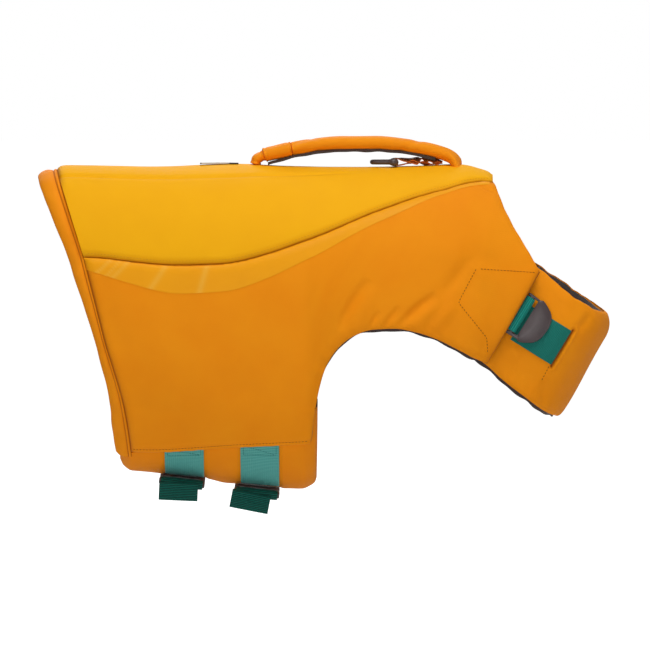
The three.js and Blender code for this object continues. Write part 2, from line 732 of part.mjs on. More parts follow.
for (const side of ["near", "far"]) {
  const flip = side === "near" ? 1 : -1;
  const toSide = (v) => new THREE.Vector3(v.x, v.y * flip, v.z);
  const high = neckPoint({ u: 0 }, WINDOW.top, -BUCKLE_LIFT);
  const low = neckPoint({ u: 0 }, WINDOW.low, -BUCKLE_LIFT);
  const across = low.clone().sub(high).normalize();
  const out = new THREE.Vector3().crossVectors(forward, across).normalize();
  if (out.y > 0) out.negate();
  const from = high.clone().addScaledVector(across, -WINDOW.top);
  const wall = extruded(ladder, BUCKLE_WALL);
  const plate = placed(wall, toSide(forward), toSide(across), toSide(out), toSide(from));
  const loopFrom = from.clone().addScaledVector(across, WINDOW.top + 0.6);
  const loopWidth = WINDOW.low - WINDOW.top - 1.2;
  const loop = placed(
    extruded(ribbon(ladderLoop, WEBBING), loopWidth),
    toSide(forward),
    toSide(out),
    toSide(across),
    toSide(loopFrom),
  );
  addPiece("neck_buckle_" + side, "plastic", facingOut(plate));
  addPiece("neck_loop_" + side, "midStrap", facingOut(loop));
}

// A mirroring placement turns an extrusion inside out, so its faces are turned round again
function facingOut(geometry) {
  const corners = geometry.getAttribute("position");
  const at = (i) => new THREE.Vector3().fromBufferAttribute(corners, i);
  let volume = 0;
  for (let i = 0; i < corners.count; i += 3) volume += at(i).dot(at(i + 1).cross(at(i + 2)));
  if (volume > 0) return geometry;
  const index = [];
  for (let i = 0; i < corners.count; i += 3) index.push(i, i + 2, i + 1);
  return geometry.setIndex(index);
}

// Handle: rounded sections along an arch over the back
const RING_SIDES = 10;
function archRings({ from, to, halfWidth, halfHeight }) {
  return HANDLE.slice(from, to + 1).map((row, i) => {
    const before = HANDLE[Math.max(0, from + i - 1)];
    const after = HANDLE[Math.min(HANDLE.length - 1, from + i + 1)];
    const along = new THREE.Vector3(after.x - before.x, 0, after.z - before.z).normalize();
    const up = new THREE.Vector3(-along.z, 0, along.x);
    const ring = [];
    for (let k = 0; k < RING_SIDES; k++) {
      const turn = (2 * Math.PI * k) / RING_SIDES;
      const middle = new THREE.Vector3(row.x, halfWidth * power(Math.cos(turn), 0.8), row.z);
      ring.push(middle.addScaledVector(up, row.share * halfHeight * power(Math.sin(turn), 0.8)));
    }
    return ring;
  });
}
const slid = (rings, by) => rings.map((ring) => ring.map((p) => p.clone().add(new THREE.Vector3(by, 0, 0))));
addMesh("handle_grip", "orange", loft(slid(archRings(GRIP), SEAM_GAP)));
addMesh("handle_sleeve", "orange", loft(archRings(SLEEVE)));
addMesh("handle_root", "orange", loft(slid(archRings(ROOT), -SEAM_GAP)));

// Dark strip along the underside of the grip
const underDrop = GRIP.halfHeight + 2 * SEAM_GAP + UNDERSIDE.thick / 2;
const underLine = HANDLE.slice(UNDERSIDE.from, UNDERSIDE.to + 1).map((row) => [row.x, row.z - underDrop]);
const underStrip = extruded(ribbon(underLine, UNDERSIDE.thick), 2 * UNDERSIDE.halfWidth);
const underFrom = new THREE.Vector3(0, -UNDERSIDE.halfWidth, 0);
addPiece("handle_lining", "lining", facingOut(placed(underStrip, X, Z, Y, underFrom)));

// Leash ring: a closed loop of round wire lying on the back, with a straight bar at the front
const RING_CORNERS = [
  [RING.bar, -RING.halfWidth],
  [RING.bar, RING.halfWidth],
  [RING.tip, RING.halfWidth * 0.62],
  [RING.tip, -RING.halfWidth * 0.62],
].map(([x, y]) => new THREE.Vector3(x, y, RING.z));
const CORNER_STEPS = 5;
const ringPath = RING_CORNERS.flatMap((corner, i) => {
  const towards = (other) => other.clone().sub(corner).setLength(RING.corner).add(corner);
  const before = towards(RING_CORNERS.at(i - 1));
  const after = towards(RING_CORNERS[(i + 1) % RING_CORNERS.length]);
  return new THREE.QuadraticBezierCurve3(before, corner, after).getPoints(CORNER_STEPS);
});
const WIRE_SIDES = 10;
const ringRings = ringPath.map((point, i) => {
  const before = ringPath.at(i - 1);
  const after = ringPath[(i + 1) % ringPath.length];
  const outward = new THREE.Vector3().crossVectors(after.clone().sub(before), Z).normalize();
  return Array.from({ length: WIRE_SIDES }, (_, k) => {
    const turn = (2 * Math.PI * (k + 0.5)) / WIRE_SIDES;
    return point
      .clone()
      .addScaledVector(outward, (RING_WIRE / 2) * Math.cos(turn))
      .addScaledVector(Z, (RING_WIRE / 2) * Math.sin(turn));
  });
});
const ringFaces = ringRings.flatMap((_, r) =>
  Array.from({ length: WIRE_SIDES }, (_, i) => {
    const next = ((r + 1) % ringRings.length) * WIRE_SIDES;
    const here = r * WIRE_SIDES;
    const j = (i + 1) % WIRE_SIDES;
    return [
      [here + i, here + j, next + j],
      [here + i, next + j, next + i],
    ];
  }).flat(),
);
addMesh("leash_ring", "plastic", closedGeometry(ringRings.flat(), ringFaces));

// Webbing of the ring: forward under the handle in two layers, wrapped round the bar
const LOOP_WEB = { thick: 1.3, halfWidth: 10.5, end: 143 };
const wrap = RING_WIRE / 2 + SEAM_GAP + LOOP_WEB.thick / 2;
const leashLine = [
  [LOOP_WEB.end, RING.z + 0.6],
  [128, RING.z + 0.7],
  [112, RING.z + 1.2],
  [RING.bar + 5.5, RING.z + wrap - 0.4],
  [RING.bar, RING.z + wrap],
  [RING.bar - wrap * 0.74, RING.z + wrap * 0.74],
  [RING.bar - wrap * 1.04, RING.z],
  [RING.bar - wrap * 0.74, RING.z - wrap * 0.74],
  [RING.bar, RING.z - wrap],
  [RING.bar + 5.5, RING.z - wrap + 0.9],
  [112, RING.z - 0.7],
  [128, RING.z - 0.95],
  [LOOP_WEB.end, RING.z - 1],
];
const leashStrip = extruded(ribbon(leashLine, LOOP_WEB.thick), 2 * LOOP_WEB.halfWidth);
const leashFrom = new THREE.Vector3(0, -LOOP_WEB.halfWidth, 0);
addPiece("leash_loop", "ringLoop", facingOut(placed(leashStrip, X, Z, Y, leashFrom)));

// Tape on the back behind the handle
const tape = new THREE.BoxGeometry(TAPE.to - TAPE.from, 2 * TAPE.halfWidth, TAPE.thick);
tape.translate((TAPE.from + TAPE.to) / 2, 0, crownAt(TAPE.from) + SEAM_GAP + TAPE.thick / 2);
addPiece("top_tape", "tape", tape);

export default jacket;
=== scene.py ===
import math

import bmesh
import bpy
import numpy as np
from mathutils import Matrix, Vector


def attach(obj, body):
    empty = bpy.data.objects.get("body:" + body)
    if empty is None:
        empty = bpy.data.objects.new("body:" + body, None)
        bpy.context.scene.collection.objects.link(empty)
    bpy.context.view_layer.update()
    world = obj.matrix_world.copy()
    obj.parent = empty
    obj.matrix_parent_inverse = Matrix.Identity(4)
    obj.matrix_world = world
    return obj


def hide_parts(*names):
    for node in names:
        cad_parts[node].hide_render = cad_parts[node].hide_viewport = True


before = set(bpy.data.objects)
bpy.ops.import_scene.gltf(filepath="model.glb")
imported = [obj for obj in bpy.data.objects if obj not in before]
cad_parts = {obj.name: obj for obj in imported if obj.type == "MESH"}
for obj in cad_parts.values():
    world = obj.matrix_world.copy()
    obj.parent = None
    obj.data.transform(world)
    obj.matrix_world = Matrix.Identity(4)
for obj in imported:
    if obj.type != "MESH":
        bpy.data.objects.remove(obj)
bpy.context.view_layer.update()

BODY = "jacket"
RING_BODY = "ring"
TURN = 2 * math.pi


# ---------- finishes

class Strand:
    """A shader socket whose maths is written as an expression."""

    def __init__(self, finish, socket):
        self.finish = finish
        self.socket = socket

    def maths(self, operation, *values):
        return self.finish.node("ShaderNodeMath", {"operation": operation}, dict(enumerate(values)))

    def __add__(self, other):
        return self.maths("ADD", self, other)

    def __radd__(self, other):
        return self.maths("ADD", other, self)

    def __sub__(self, other):
        return self.maths("SUBTRACT", self, other)

    def __rsub__(self, other):
        return self.maths("SUBTRACT", other, self)

    def __mul__(self, other):
        return self.maths("MULTIPLY", self, other)

    def __rmul__(self, other):
        return self.maths("MULTIPLY", other, self)

    def sin(self):
        return self.maths("SINE", self)

    def size(self):
        return self.maths("ABSOLUTE", self)

    def clamped(self):
        return self.maths("MINIMUM", self.maths("MAXIMUM", self, 0.0), 1.0)


class Finish:
    """One material on the jacket: a Principled shader and the nodes that feed it."""

    def __init__(self, name, slot, **fixed):
        self.material = bpy.data.materials.new(name)
        self.material.use_nodes = True
        self.slot = slot
        self.tree = self.material.node_tree
        self.tree.nodes.clear()
        self.shader = self.tree.nodes.new("ShaderNodeBsdfPrincipled")
        self.out = self.tree.nodes.new("ShaderNodeOutputMaterial")
        self.tree.links.new(self.shader.outputs[0], self.out.inputs["Surface"])
        for socket, value in fixed.items():
            self.shader.inputs[socket.replace("_", " ")].default_value = value

    def node(self, kind, settings=None, sockets=None, out=0):
        made = self.tree.nodes.new(kind)
        for key, value in (settings or {}).items():
            setattr(made, key, value)
        for key, value in (sockets or {}).items():
            if isinstance(value, Strand):
                self.tree.links.new(value.socket, made.inputs[key])
            else:
                made.inputs[key].default_value = value
        return Strand(self, made.outputs[out])

    def feed(self, socket, value):
        self.tree.links.new(value.socket, self.shader.inputs[socket])

    def mark(self, name):
        return self.node("ShaderNodeAttribute", {"attribute_name": name}, out="Fac")

    def place(self):
        """Millimetres along and across the cloth."""
        spot = self.node("ShaderNodeAttribute", {"attribute_name": "cloth"}, out="Vector")
        return (
            self.node("ShaderNodeSeparateXYZ", None, {0: spot}, out="X"),
            self.node("ShaderNodeSeparateXYZ", None, {0: spot}, out="Y"),
            spot,
        )

    def noise(self, vector, scale, detail=3.0):
        settings = {"Vector": vector, "Scale": scale, "Detail": detail}
        return self.node("ShaderNodeTexNoise", {"noise_dimensions": "3D"}, settings, out="Fac")

    def blend(self, share, first, second):
        settings = {"data_type": "RGBA", "clamp_factor": True}
        return self.node("ShaderNodeMix", settings, {0: share, 6: first, 7: second}, out=2)

    def bump(self, height, depth, under=None):
        """A bump of so many millimetres."""
        sockets = {"Height": height, "Strength": 1.0, "Distance": depth / 1000}
        if under is not None:
            sockets["Normal"] = under
        return self.node("ShaderNodeBump", None, sockets, out="Normal")


def srgb(code):
    parts = [int(code[i:i + 2], 16) / 255 for i in (1, 3, 5)]
    return (*[v / 12.92 if v <= 0.04045 else ((v + 0.055) / 1.055) ** 2.4 for v in parts], 1.0)


def woven(name, slot, light, dark, rough=0.62, pitch=0.9, shine=0.0, sheen=0.02, relief=0.05,
          seam="#a8560c", streaks=None):
    """Plain-woven polyester: threads over and under, soft unevenness in tone, and painted shade along seams or pale
    streaks.
    """
    f = Finish(name, slot, Sheen_Weight=sheen, Sheen_Roughness=0.45, Specular_IOR_Level=0.1 + shine)
    along, across, spot = f.place()
    threads = (along * (TURN / pitch)).sin() * (across * (TURN / pitch)).sin()
    slow = f.noise(spot, 0.02)
    fine = f.noise(spot, 0.9, 2.0)
    tone = f.blend((slow * 1.5 - 0.35 + fine * 0.2).clamped(), srgb(dark), srgb(light))
    twill = ((along + across) * (TURN / 2.1)).sin() * 0.5 + 0.5
    tone = f.blend(twill * 0.35, tone, srgb(dark))
    # The seam mark paints shade along seams in the seam colour; the streak mark paints pale streaks.
    mark, share, colour = ("streak", 0.3, streaks) if streaks else ("seam", 0.75, seam)
    f.feed("Base Color", f.blend((f.mark(mark) * share).clamped(), tone, srgb(colour)))
    f.feed("Roughness", (rough + (fine - 0.5) * 0.12 + (slow - 0.5) * 0.1).clamped())
    f.feed("Normal", f.bump(fine, 0.12, f.bump(threads, relief)))
    return f


def banded(name, slot, light, dark, rough=0.55, pitch=2.0, lengthwise=False, tip=None):
    """Ribbed webbing: a painted highlight on the rib crowns and painted shade in the grooves between them, and a
    fine twill over them.
    """
    f = Finish(name, slot, Sheen_Weight=0.05, Sheen_Roughness=0.4, Specular_IOR_Level=0.18)
    along, across, spot = f.place()
    run, cross = (across, along) if lengthwise else (along, across)
    rib = (run * (TURN / pitch)).sin() * 0.5 + 0.5
    twill = ((run + cross) * (TURN / 1.1)).sin()
    fine = f.noise(spot, 1.2, 2.0)
    # Painted highlight on the rib crowns and painted shade in the grooves.
    ribbed = f.blend((rib * 0.8 + fine * 0.4 - 0.15).clamped(), srgb(dark), srgb(light))
    f.feed("Base Color", f.blend(f.mark("tip"), ribbed, srgb(tip)) if tip else ribbed)
    f.feed("Roughness", (rough + (fine - 0.5) * 0.2).clamped())
    f.feed("Normal", f.bump(twill, 0.05, f.bump(fine, 0.1)))
    return f


def knitted(name, slot, light, dark):
    """Soft spacer mesh: small dark eyes in rows."""
    f = Finish(name, slot, Sheen_Weight=0.4, Sheen_Roughness=0.5, Specular_IOR_Level=0.2)
    along, across, spot = f.place()
    eyes = ((along * (TURN / 2.6)).sin() * (across * (TURN / 2.2)).sin()).size()
    fine = f.noise(spot, 0.7, 2.0)
    f.feed("Base Color", f.blend((eyes * 0.8 + fine * 0.3).clamped(), srgb(dark), srgb(light)))
    f.feed("Roughness", (0.82 + (fine - 0.5) * 0.15).clamped())
    f.feed("Normal", f.bump(eyes, 0.25, f.bump(fine, 0.2)))
    return f


def moulded(name, slot, light, dark, rough=0.38):
    """Moulded plastic with a fine spark texture and rubbed high spots."""
    f = Finish(name, slot, Specular_IOR_Level=0.5, Coat_Roughness=0.3)
    spot = f.node("ShaderNodeTexCoord", None, None, out="Object")
    grain = f.noise(spot, 2600.0, 2.0)
    slow = f.noise(spot, 60.0, 2.0)
    f.feed("Base Color", f.blend((slow * 1.2 - 0.2 + grain * 0.25).clamped(), srgb(dark), srgb(light)))
    f.feed("Roughness", (rough + (grain - 0.5) * 0.2 + (slow - 0.5) * 0.12).clamped())
    f.feed("Normal", f.bump(grain, 0.04))
    return f


def thread(name, slot, light, dark):
    """Sewing thread, a little uneven in colour."""
    f = Finish(name, slot, Specular_IOR_Level=0.15)
    spot = f.node("ShaderNodeTexCoord", None, None, out="Object")
    fine = f.noise(spot, 900.0, 2.0)
    f.feed("Base Color", f.blend(fine, srgb(dark), srgb(light)))
    f.feed("Roughness", (0.55 + fine * 0.2).clamped())
    return f


YELLOW = woven("yellow polyester", "yellow_cloth", "#ffb90c", "#fab007")
ORANGE = woven("orange polyester", "orange_cloth", "#fd9c10", "#f78f06")
SHINY = woven("shiny coated cloth", "shiny_cloth", "#fba90b", "#f39f06", rough=0.48, shine=0.04, relief=0.02,
              streaks="#ffd05e")
EDGE = woven("orange edge cloth", "edge_cloth", "#fd9c14", "#f58e08")
BELLY = woven("orange belly cloth", "belly_cloth", "#fc9810", "#f58a06")
LINING = knitted("dark spacer mesh", "dark_lining", "#5a4f4c", "#2c2625")
TEAL = banded("light teal webbing", "light_webbing", "#6dc2ba", "#41938c", pitch=2.1, lengthwise=True)
# A darker copy of the teal webbing, painted in for the shaded underside of the buckle loops and hanging ends.
TEAL_IN_SHADE = banded("teal webbing painted in shade", "dark_webbing", "#0a7566", "#01231e")
GREEN = banded("green webbing", "green_webbing", "#1fa698", "#0b6459", pitch=2.0)
FLAT_GREEN = banded("flat green webbing", "green_webbing", "#148275", "#0a6459", pitch=1.5)
PLASTIC = moulded("grey brown plastic", "grey_plastic", "#564a4b", "#403536")
RING_PLASTIC = moulded("dark ring plastic", "grey_plastic", "#5a4c4a", "#3c3231")
BROWN = banded("orange brown webbing", "brown_webbing", "#e07a28", "#b25513", pitch=1.6)
PALE = banded("pale tape", "pale_tape", "#d9d4cc", "#b9b3ab", pitch=1.2, tip="#4a4440")
DEEP_THREAD = thread("deep orange thread", "orange_cloth", "#a9560a", "#7a3a05")
GOLD_THREAD = thread("gold thread", "yellow_cloth", "#eca316", "#c98510")
GREEN_THREAD = thread("green thread", "light_webbing", "#2d6f6a", "#20524e")


# ---------- sizes shared with the model

FOAM, BELLY_FOAM = 14, 12
HEM = 6
PUFF, PUFF_REACH = 3.5, 10
LINING_GAP, LINING_THICK = 0.6, 1.2
SEAM_GAP = 0.3
ROUNDNESS = 2.3
WEBBING, STRAP_WIDTH = 1.5, 39


def table(names, rows):
    return {name: np.array(column, float) for name, column in zip(names.split(), zip(*rows))}


SECTIONS = table("x width crown keel", [
    (-264, 76, 16.6, -286), (-216, 84, 15.4, -290), (-164, 92, 14.8, -297), (-137, 96, 15, -300),
    (-97, 101, 16.2, -304.5), (-57, 104, 17, -310.5), (-18, 106, 15.5, -314.5), (10, 106, 15, -314.5),
    (60, 105, 14.6, -306), (120, 100, 14.8, -285), (160, 95, 16.4, -270), (184, 91, 11.4, -262),
    (199, 89, 7, -260), (222, 86, -9, -257), (244, 83, -21, -255),
])
SIDE = table("seam_x seam_z low_x low_z band", [
    (-216, -74, -169.5, -272, 12.6), (-210, -74.2, -165, -272.2, 14.5), (-195, -75, -152, -272.4, 18.5),
    (-174, -77.5, -136, -272, 22.5), (-125, -81.5, -97, -269, 28.5), (-77, -80, -60, -266, 27.5),
    (-34, -70.5, -21, -264, 24), (-2, -59.5, 9.5, -262, 20.5), (20, -51.5, 14.5, -232, 18.8),
    (40, -43, 19.5, -205, 17), (57, -35.5, 26, -183.5, 15.5), (74, -28.5, 38, -164.5, 14.2),
    (92, -22, 54, -152, 12.8), (110, -15.5, 73, -145.8, 11), (129, -9.8, 95, -145, 7.8),
    (148, -4.8, 117, -149, 6), (167, 0.5, 137, -156, 5.5), (184, 2.5, 153, -164, 5),
    (194, 2, 165, -170.5, 4.5), (202.5, -17, 174, -175.5, 4), (211.5, -37, 180, -178, 4),
    (225, -61, 184, -179.5, 4), (235.5, -79.7, 186.2, -180.2, 4), (240, -89, 187.5, -180.8, 4),
])
HEM_END = 7
NECK_START = 18
LAST_ROW = 23
REAR = table("z seam strip", [
    (-276, -169, 17), (-256, -171, 18), (-236, -174, 16.5), (-216, -178, 14.5), (-196, -183.5, 13.5),
    (-156, -195.5, 11.5), (-136, -200.5, 12.5), (-96, -210.5, 15.5), (-74, -216, 16.5), (-36, -228, 19),
    (2, -240, 20), (17, -244, 19),
])
REAR_FADE = 150


def curve_of(xs, ys):
    """A smooth curve through the points that never swings past them."""
    xs, ys = np.asarray(xs, float), np.asarray(ys, float)
    rise = np.diff(ys) / np.diff(xs)
    both = rise[:-1] + rise[1:]
    inner = np.where(rise[:-1] * rise[1:] <= 0, 0, 2 * rise[:-1] * rise[1:] / np.where(both == 0, 1, both))
    slope = np.concatenate([rise[:1], inner, rise[-1:]])

    def at(value):
        value = np.clip(value, xs[0], xs[-1])
        i = np.clip(np.searchsorted(xs, value, side="right") - 1, 0, len(xs) - 2)
        span = xs[i + 1] - xs[i]
        t = (value - xs[i]) / span
        s = 1 - t
        bend = span * (slope[i] * t * s * s - slope[i + 1] * t * t * s)
        return ys[i] * s * s * (1 + 2 * t) + ys[i + 1] * t * t * (1 + 2 * s) + bend

    return at


def power(value, exponent):
    return np.sign(value) * np.abs(value) ** exponent


def mix(a, b, share):
    return a + (b - a) * share


# ---------- torso skin

width_at = curve_of(SECTIONS["x"], SECTIONS["width"])
crown_at = curve_of(SECTIONS["x"], SECTIONS["crown"])
keel_at = curve_of(SECTIONS["x"], SECTIONS["keel"])
rear_at = curve_of(REAR["z"], REAR["seam"])
strip_at = curve_of(REAR["z"], REAR["strip"])


def middle_at(x):
    return (crown_at(x) + keel_at(x)) / 2


def height_at(x):
    return (crown_at(x) - keel_at(x)) / 2


def angle_of(x, z):
    """Round a section: -90 degrees at the keel, 0 at the near side and 90 at the spine."""
    return np.arcsin(power(np.clip((z - middle_at(x)) / height_at(x), -1, 1), ROUNDNESS / 2))


def skin_normal(x, y, z):
    def fill(at):
        return np.abs(y / width_at(at)) ** ROUNDNESS + np.abs((z - middle_at(at)) / height_at(at)) ** ROUNDNESS

    across, up = y / width_at(x), (z - middle_at(x)) / height_at(x)
    normal = np.stack([
        (fill(x + 1) - fill(x - 1)) / 2,
        ROUNDNESS * power(across, ROUNDNESS - 1) / width_at(x),
        ROUNDNESS * power(up, ROUNDNESS - 1) / height_at(x),
    ], -1)
    return normal / np.linalg.norm(normal, axis=-1, keepdims=True)


def skin_point(x, angle, depth):
    x, angle, depth = np.broadcast_arrays(x, angle, depth)
    y = -width_at(x) * power(np.cos(angle), 2 / ROUNDNESS)
    z = middle_at(x) + height_at(x) * power(np.sin(angle), 2 / ROUNDNESS)
    return np.stack([x, y, z], -1) - skin_normal(x, y, z) * depth[..., None]


def distance_to(line, x, z):
    """How far each point lies from a line in the side view, and how far along the line."""
    x, z = np.broadcast_arrays(x, z)
    best, along = np.full(x.shape, np.inf), np.zeros(x.shape)
    run = 0.0
    for (ax, az), (bx, bz) in zip(line[:-1], line[1:]):
        dx, dz = bx - ax, bz - az
        length = math.hypot(dx, dz)
        share = np.clip(((x - ax) * dx + (z - az) * dz) / length ** 2, 0, 1)
        gap = np.hypot(x - ax - share * dx, z - az - share * dz)
        nearer = gap < best
        best = np.where(nearer, gap, best)
        along = np.where(nearer, run + share * length, along)
        run += length
    return best, along


ROWS = np.arange(LAST_ROW + 1)
side_curve = {name: curve_of(ROWS, column) for name, column in SIDE.items()}


def edge_line(prefix, first, last, steps=6):
    s = np.linspace(first, last, int((last - first) * steps) + 1)
    return list(zip(side_curve[prefix + "_x"](s), side_curve[prefix + "_z"](s)))


HEM_LINE = edge_line("low", 0, HEM_END)
ARCH_LINE = edge_line("low", HEM_END, LAST_ROW)
FLAP_LINE = [(240, -89), (187.5, -180.8)]
NECK_LINE = [(192, 24)] + edge_line("seam", NECK_START, LAST_ROW)
SEAM_LINE = edge_line("seam", 0, NECK_START)
rear_z = np.linspace(-276, 17, 40)
REAR_LINE = list(zip(rear_at(rear_z), rear_z))


def round_off(distance, reach):
    return 1 - np.sqrt(1 - np.clip(1 - distance / reach, 0, 1) ** 2)


def thinning(distance, hem, reach):
    return np.clip((reach - distance) / (reach - hem), 0, 1) ** 2


def puckers(distance, along, pitch, depth, reach):
    """Small uneven pulls square to a seam, which die out away from it."""
    beat = np.sin(TURN * along / pitch + 1.7 * np.sin(along / 23))
    other = np.sin(TURN * along / (pitch * 1.62) + 2.1)
    return depth * np.exp(-distance / reach) * (0.6 * beat + 0.4 * other * np.sin(along / 37))


def swell(x, z, size=1.0):
    """Slow unevenness of a foam panel under its cloth."""
    wave = np.sin(x / 31 + z / 47) + 0.7 * np.sin(z / 26 - x / 58 + 1.3) + 0.5 * np.sin(x / 17 + z / 19 + 2.9)
    return 0.42 * size * wave


def creases(rows, x, z):
    """Listed folds: three points in the side view, half width and depth. A ridge has a negative depth."""
    total = np.zeros(np.broadcast(x, z).shape)
    for ax, az, bx, bz, cx, cz, width, depth in rows:
        t = np.linspace(0, 1, 9)
        line = list(zip(
            ax * (1 - t) ** 2 + 2 * bx * t * (1 - t) + cx * t * t,
            az * (1 - t) ** 2 + 2 * bz * t * (1 - t) + cz * t * t,
        ))
        gap, along = distance_to(line, x, z)
        length = sum(math.dist(p, q) for p, q in zip(line[:-1], line[1:]))
        taper = np.sin(np.pi * np.clip(along / length, 0, 1)) ** 0.7
        total += depth * np.exp(-(gap / width) ** 2) * taper
    return total


# Folds of the near side panel, then of the far one, which creases in its own way
SIDE_FOLDS = {
    "near": [
        (40, -146, 50, -118, 69, -95, 5, 2.9), (54, -150, 60, -126, 76, -104, 7, -1.6),
        (180, -3.5, 188, -6.5, 199, -10, 2.2, 1.8),
        (69, -147, 72, -138, 79, -127, 2.8, 1.9), (83, -146, 90, -134, 99, -123, 3, 2.4),
        (98, -144, 112, -126, 136, -110, 3.8, 3.4), (113, -145, 124, -130, 141, -119, 5, -2.0),
        (133, -146, 144, -130, 156, -120, 7, -2.2), (138, -112, 156, -100, 170, -72, 7, 2.5),
        (160, -66, 178, -72, 200, -84, 8, 1.3), (120, -60, 146, -64, 168, -80, 14, -1.3),
        (176, -86, 170, -104, 160, -118, 5, 0.9), (186, -112, 178, -134, 182, -160, 8, -1.1),
        (-196, -96, -192, -130, -178, -170, 10, 0.9), (-190, -226, -150, -222, -120, -232, 9, 0.8),
        (-40, -150, -18, -190, -6, -236, 12, 1.0), (-96, -196, -60, -206, -20, -214, 14, 0.7),
    ],
    "far": [
        (46, -150, 54, -122, 60, -96, 7, 2.0), (74, -146, 80, -134, 92, -122, 3.6, 1.6),
        (90, -144, 104, -128, 120, -112, 4.6, 2.2), (120, -150, 134, -132, 152, -118, 6, 1.8),
        (66, -148, 70, -136, 74, -126, 3.2, 1.1), (134, -110, 150, -96, 176, -76, 9, 1.7),
        (150, -62, 172, -70, 196, -80, 8, 1.2), (118, -56, 140, -66, 160, -84, 13, -1.2),
        (182, -114, 176, -140, 180, -162, 8, -1.2), (-190, -110, -184, -150, -172, -196, 10, 1.0),
        (-170, -222, -140, -226, -104, -220, 9, 0.9), (-30, -140, -16, -180, -4, -226, 12, 1.1),
    ],
}


def side_depth(x, z, side):
    """How far the side panel's cloth lies under the skin."""
    seam, seam_along = distance_to(SEAM_LINE, x, z)
    hem, hem_along = distance_to(HEM_LINE, x, z)
    arch, arch_along = distance_to(ARCH_LINE, x, z)
    flap, _ = distance_to(FLAP_LINE, x, z)
    neck, neck_along = distance_to(NECK_LINE, x, z)
    rear, rear_along = distance_to(REAR_LINE, x, z)
    nearest = np.minimum.reduce([seam, hem, arch, flap, neck, rear])
    depth = PUFF * round_off(nearest, PUFF_REACH)
    depth = depth + puckers(hem, hem_along, 11, 0.35, 7) + puckers(arch, arch_along, 13, 0.7, 9)
    depth = depth + puckers(seam, seam_along, 16, 0.3, 6) + puckers(rear, rear_along, 12, 0.35, 6)
    depth = depth + puckers(neck, neck_along, 17, 0.5, 8)
    stitched = np.exp(-((hem - 4.2) / 1.3) ** 2) * 0.7
    calm = np.clip(nearest / 18, 0, 1)
    return depth + stitched + creases(SIDE_FOLDS[side], x, z) + swell(x, z) * calm


def inner_depth(x, z):
    thin = np.maximum.reduce([
        thinning(distance_to(HEM_LINE, x, z)[0], 6, 24),
        thinning(distance_to(ARCH_LINE, x, z)[0], 6, 24),
        thinning(distance_to(FLAP_LINE, x, z)[0], 14, 32),
        thinning(distance_to(NECK_LINE, x, z)[0], 3, 20),
    ])
    return FOAM - (FOAM - HEM) * thin


def row_share(seam_x):
    return np.clip(1 - (seam_x - SIDE["seam_x"][0]) / REAR_FADE, 0, 1)


def rear_chord(z):
    top, low = (SIDE["seam_x"][0], SIDE["seam_z"][0]), (SIDE["low_x"][0], SIDE["low_z"][0])
    return mix(top[0], low[0], (top[1] - z) / (top[1] - low[1]))


def side_spot(s, drop):
    """The place in the side view of a drop below the seam on a row."""
    seam_x, seam_z = side_curve["seam_x"](s), side_curve["seam_z"](s)
    low_x, low_z = side_curve["low_x"](s), side_curve["low_z"](s)
    z = seam_z - drop
    share = drop / (seam_z - low_z)
    bow = rear_at(z) - rear_chord(z) - (rear_at(seam_z) - rear_chord(seam_z))
    return mix(seam_x, low_x, share) + row_share(seam_x) * bow, z


def even_rows(last, count):
    """Row numbers from 0 to the last, evenly spread over the cloth."""
    s = np.linspace(0, last, 2401)
    step = sum(np.abs(np.diff(side_curve[name](s))) for name in ("seam_x", "seam_z", "low_x", "low_z"))
    run = np.concatenate([[0], np.cumsum(step)])
    return np.interp(np.linspace(0, run[-1], count), run, s)


# ---------- meshes

def run_along(points):
    """How far along a line each of its points lies."""
    return np.concatenate([[0], np.cumsum(np.linalg.norm(np.diff(points, axis=0), axis=-1))])


def place_of(grid):
    """Millimetres along and across a grid of points, for the weave."""
    middle = grid.shape[1] // 2
    place = np.zeros(grid.shape)
    place[..., 0] = run_along(grid[:, middle])[:, None]
    place[:, 1:, 1] = np.cumsum(np.linalg.norm(np.diff(grid, axis=1), axis=-1), axis=1)
    place[..., 1] -= place[:, middle:middle + 1, 1]
    return place


def put_on(name, mesh, finish, body=BODY, sharp=50):
    """Makes a piece of a mesh, smooth but for its sharp edges, that rides on its body."""
    mesh.polygons.foreach_set("use_smooth", [True] * len(mesh.polygons))
    mesh.set_sharp_from_angle(angle=math.radians(sharp))
    mesh.materials.append(finish.material)
    piece = bpy.data.objects.new(name, mesh)
    bpy.context.scene.collection.objects.link(piece)
    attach(piece, body)
    return piece


def add_piece(name, points, faces, finish, place, marks=None, body=BODY):
    """A piece that faces outwards. Quads whose last two corners are one point become triangles."""
    first = points[faces[:, 0]]
    spans = [np.cross(points[faces[:, k]] - first, points[faces[:, k + 1]] - first) for k in (1, 2)]
    turn = slice(None, None, -1) if sum((first * span).sum() for span in spans) < 0 else slice(None)
    fan = faces[:, 2] == faces[:, 3]
    lists = [row[turn] for row in faces[~fan].tolist()] + [row[:3][turn] for row in faces[fan].tolist()]
    mesh = bpy.data.meshes.new(name)
    mesh.from_pydata((points / 1000).tolist(), [], lists)
    mesh.attributes.new("cloth", "FLOAT_VECTOR", "POINT").data.foreach_set("vector", place.reshape(-1))
    for key, values in (marks or {}).items():
        mesh.attributes.new(key, "FLOAT", "POINT").data.foreach_set("value", values.reshape(-1))
    return put_on(name, mesh, finish, body)


def quads(index):
    return np.stack([index[:-1, :-1], index[:-1, 1:], index[1:, 1:], index[1:, :-1]], -1).reshape(-1, 4)


def rim_of(index):
    return np.concatenate([index[0, :], index[1:, -1], index[-1, -2::-1], index[-2::-1, 0]])


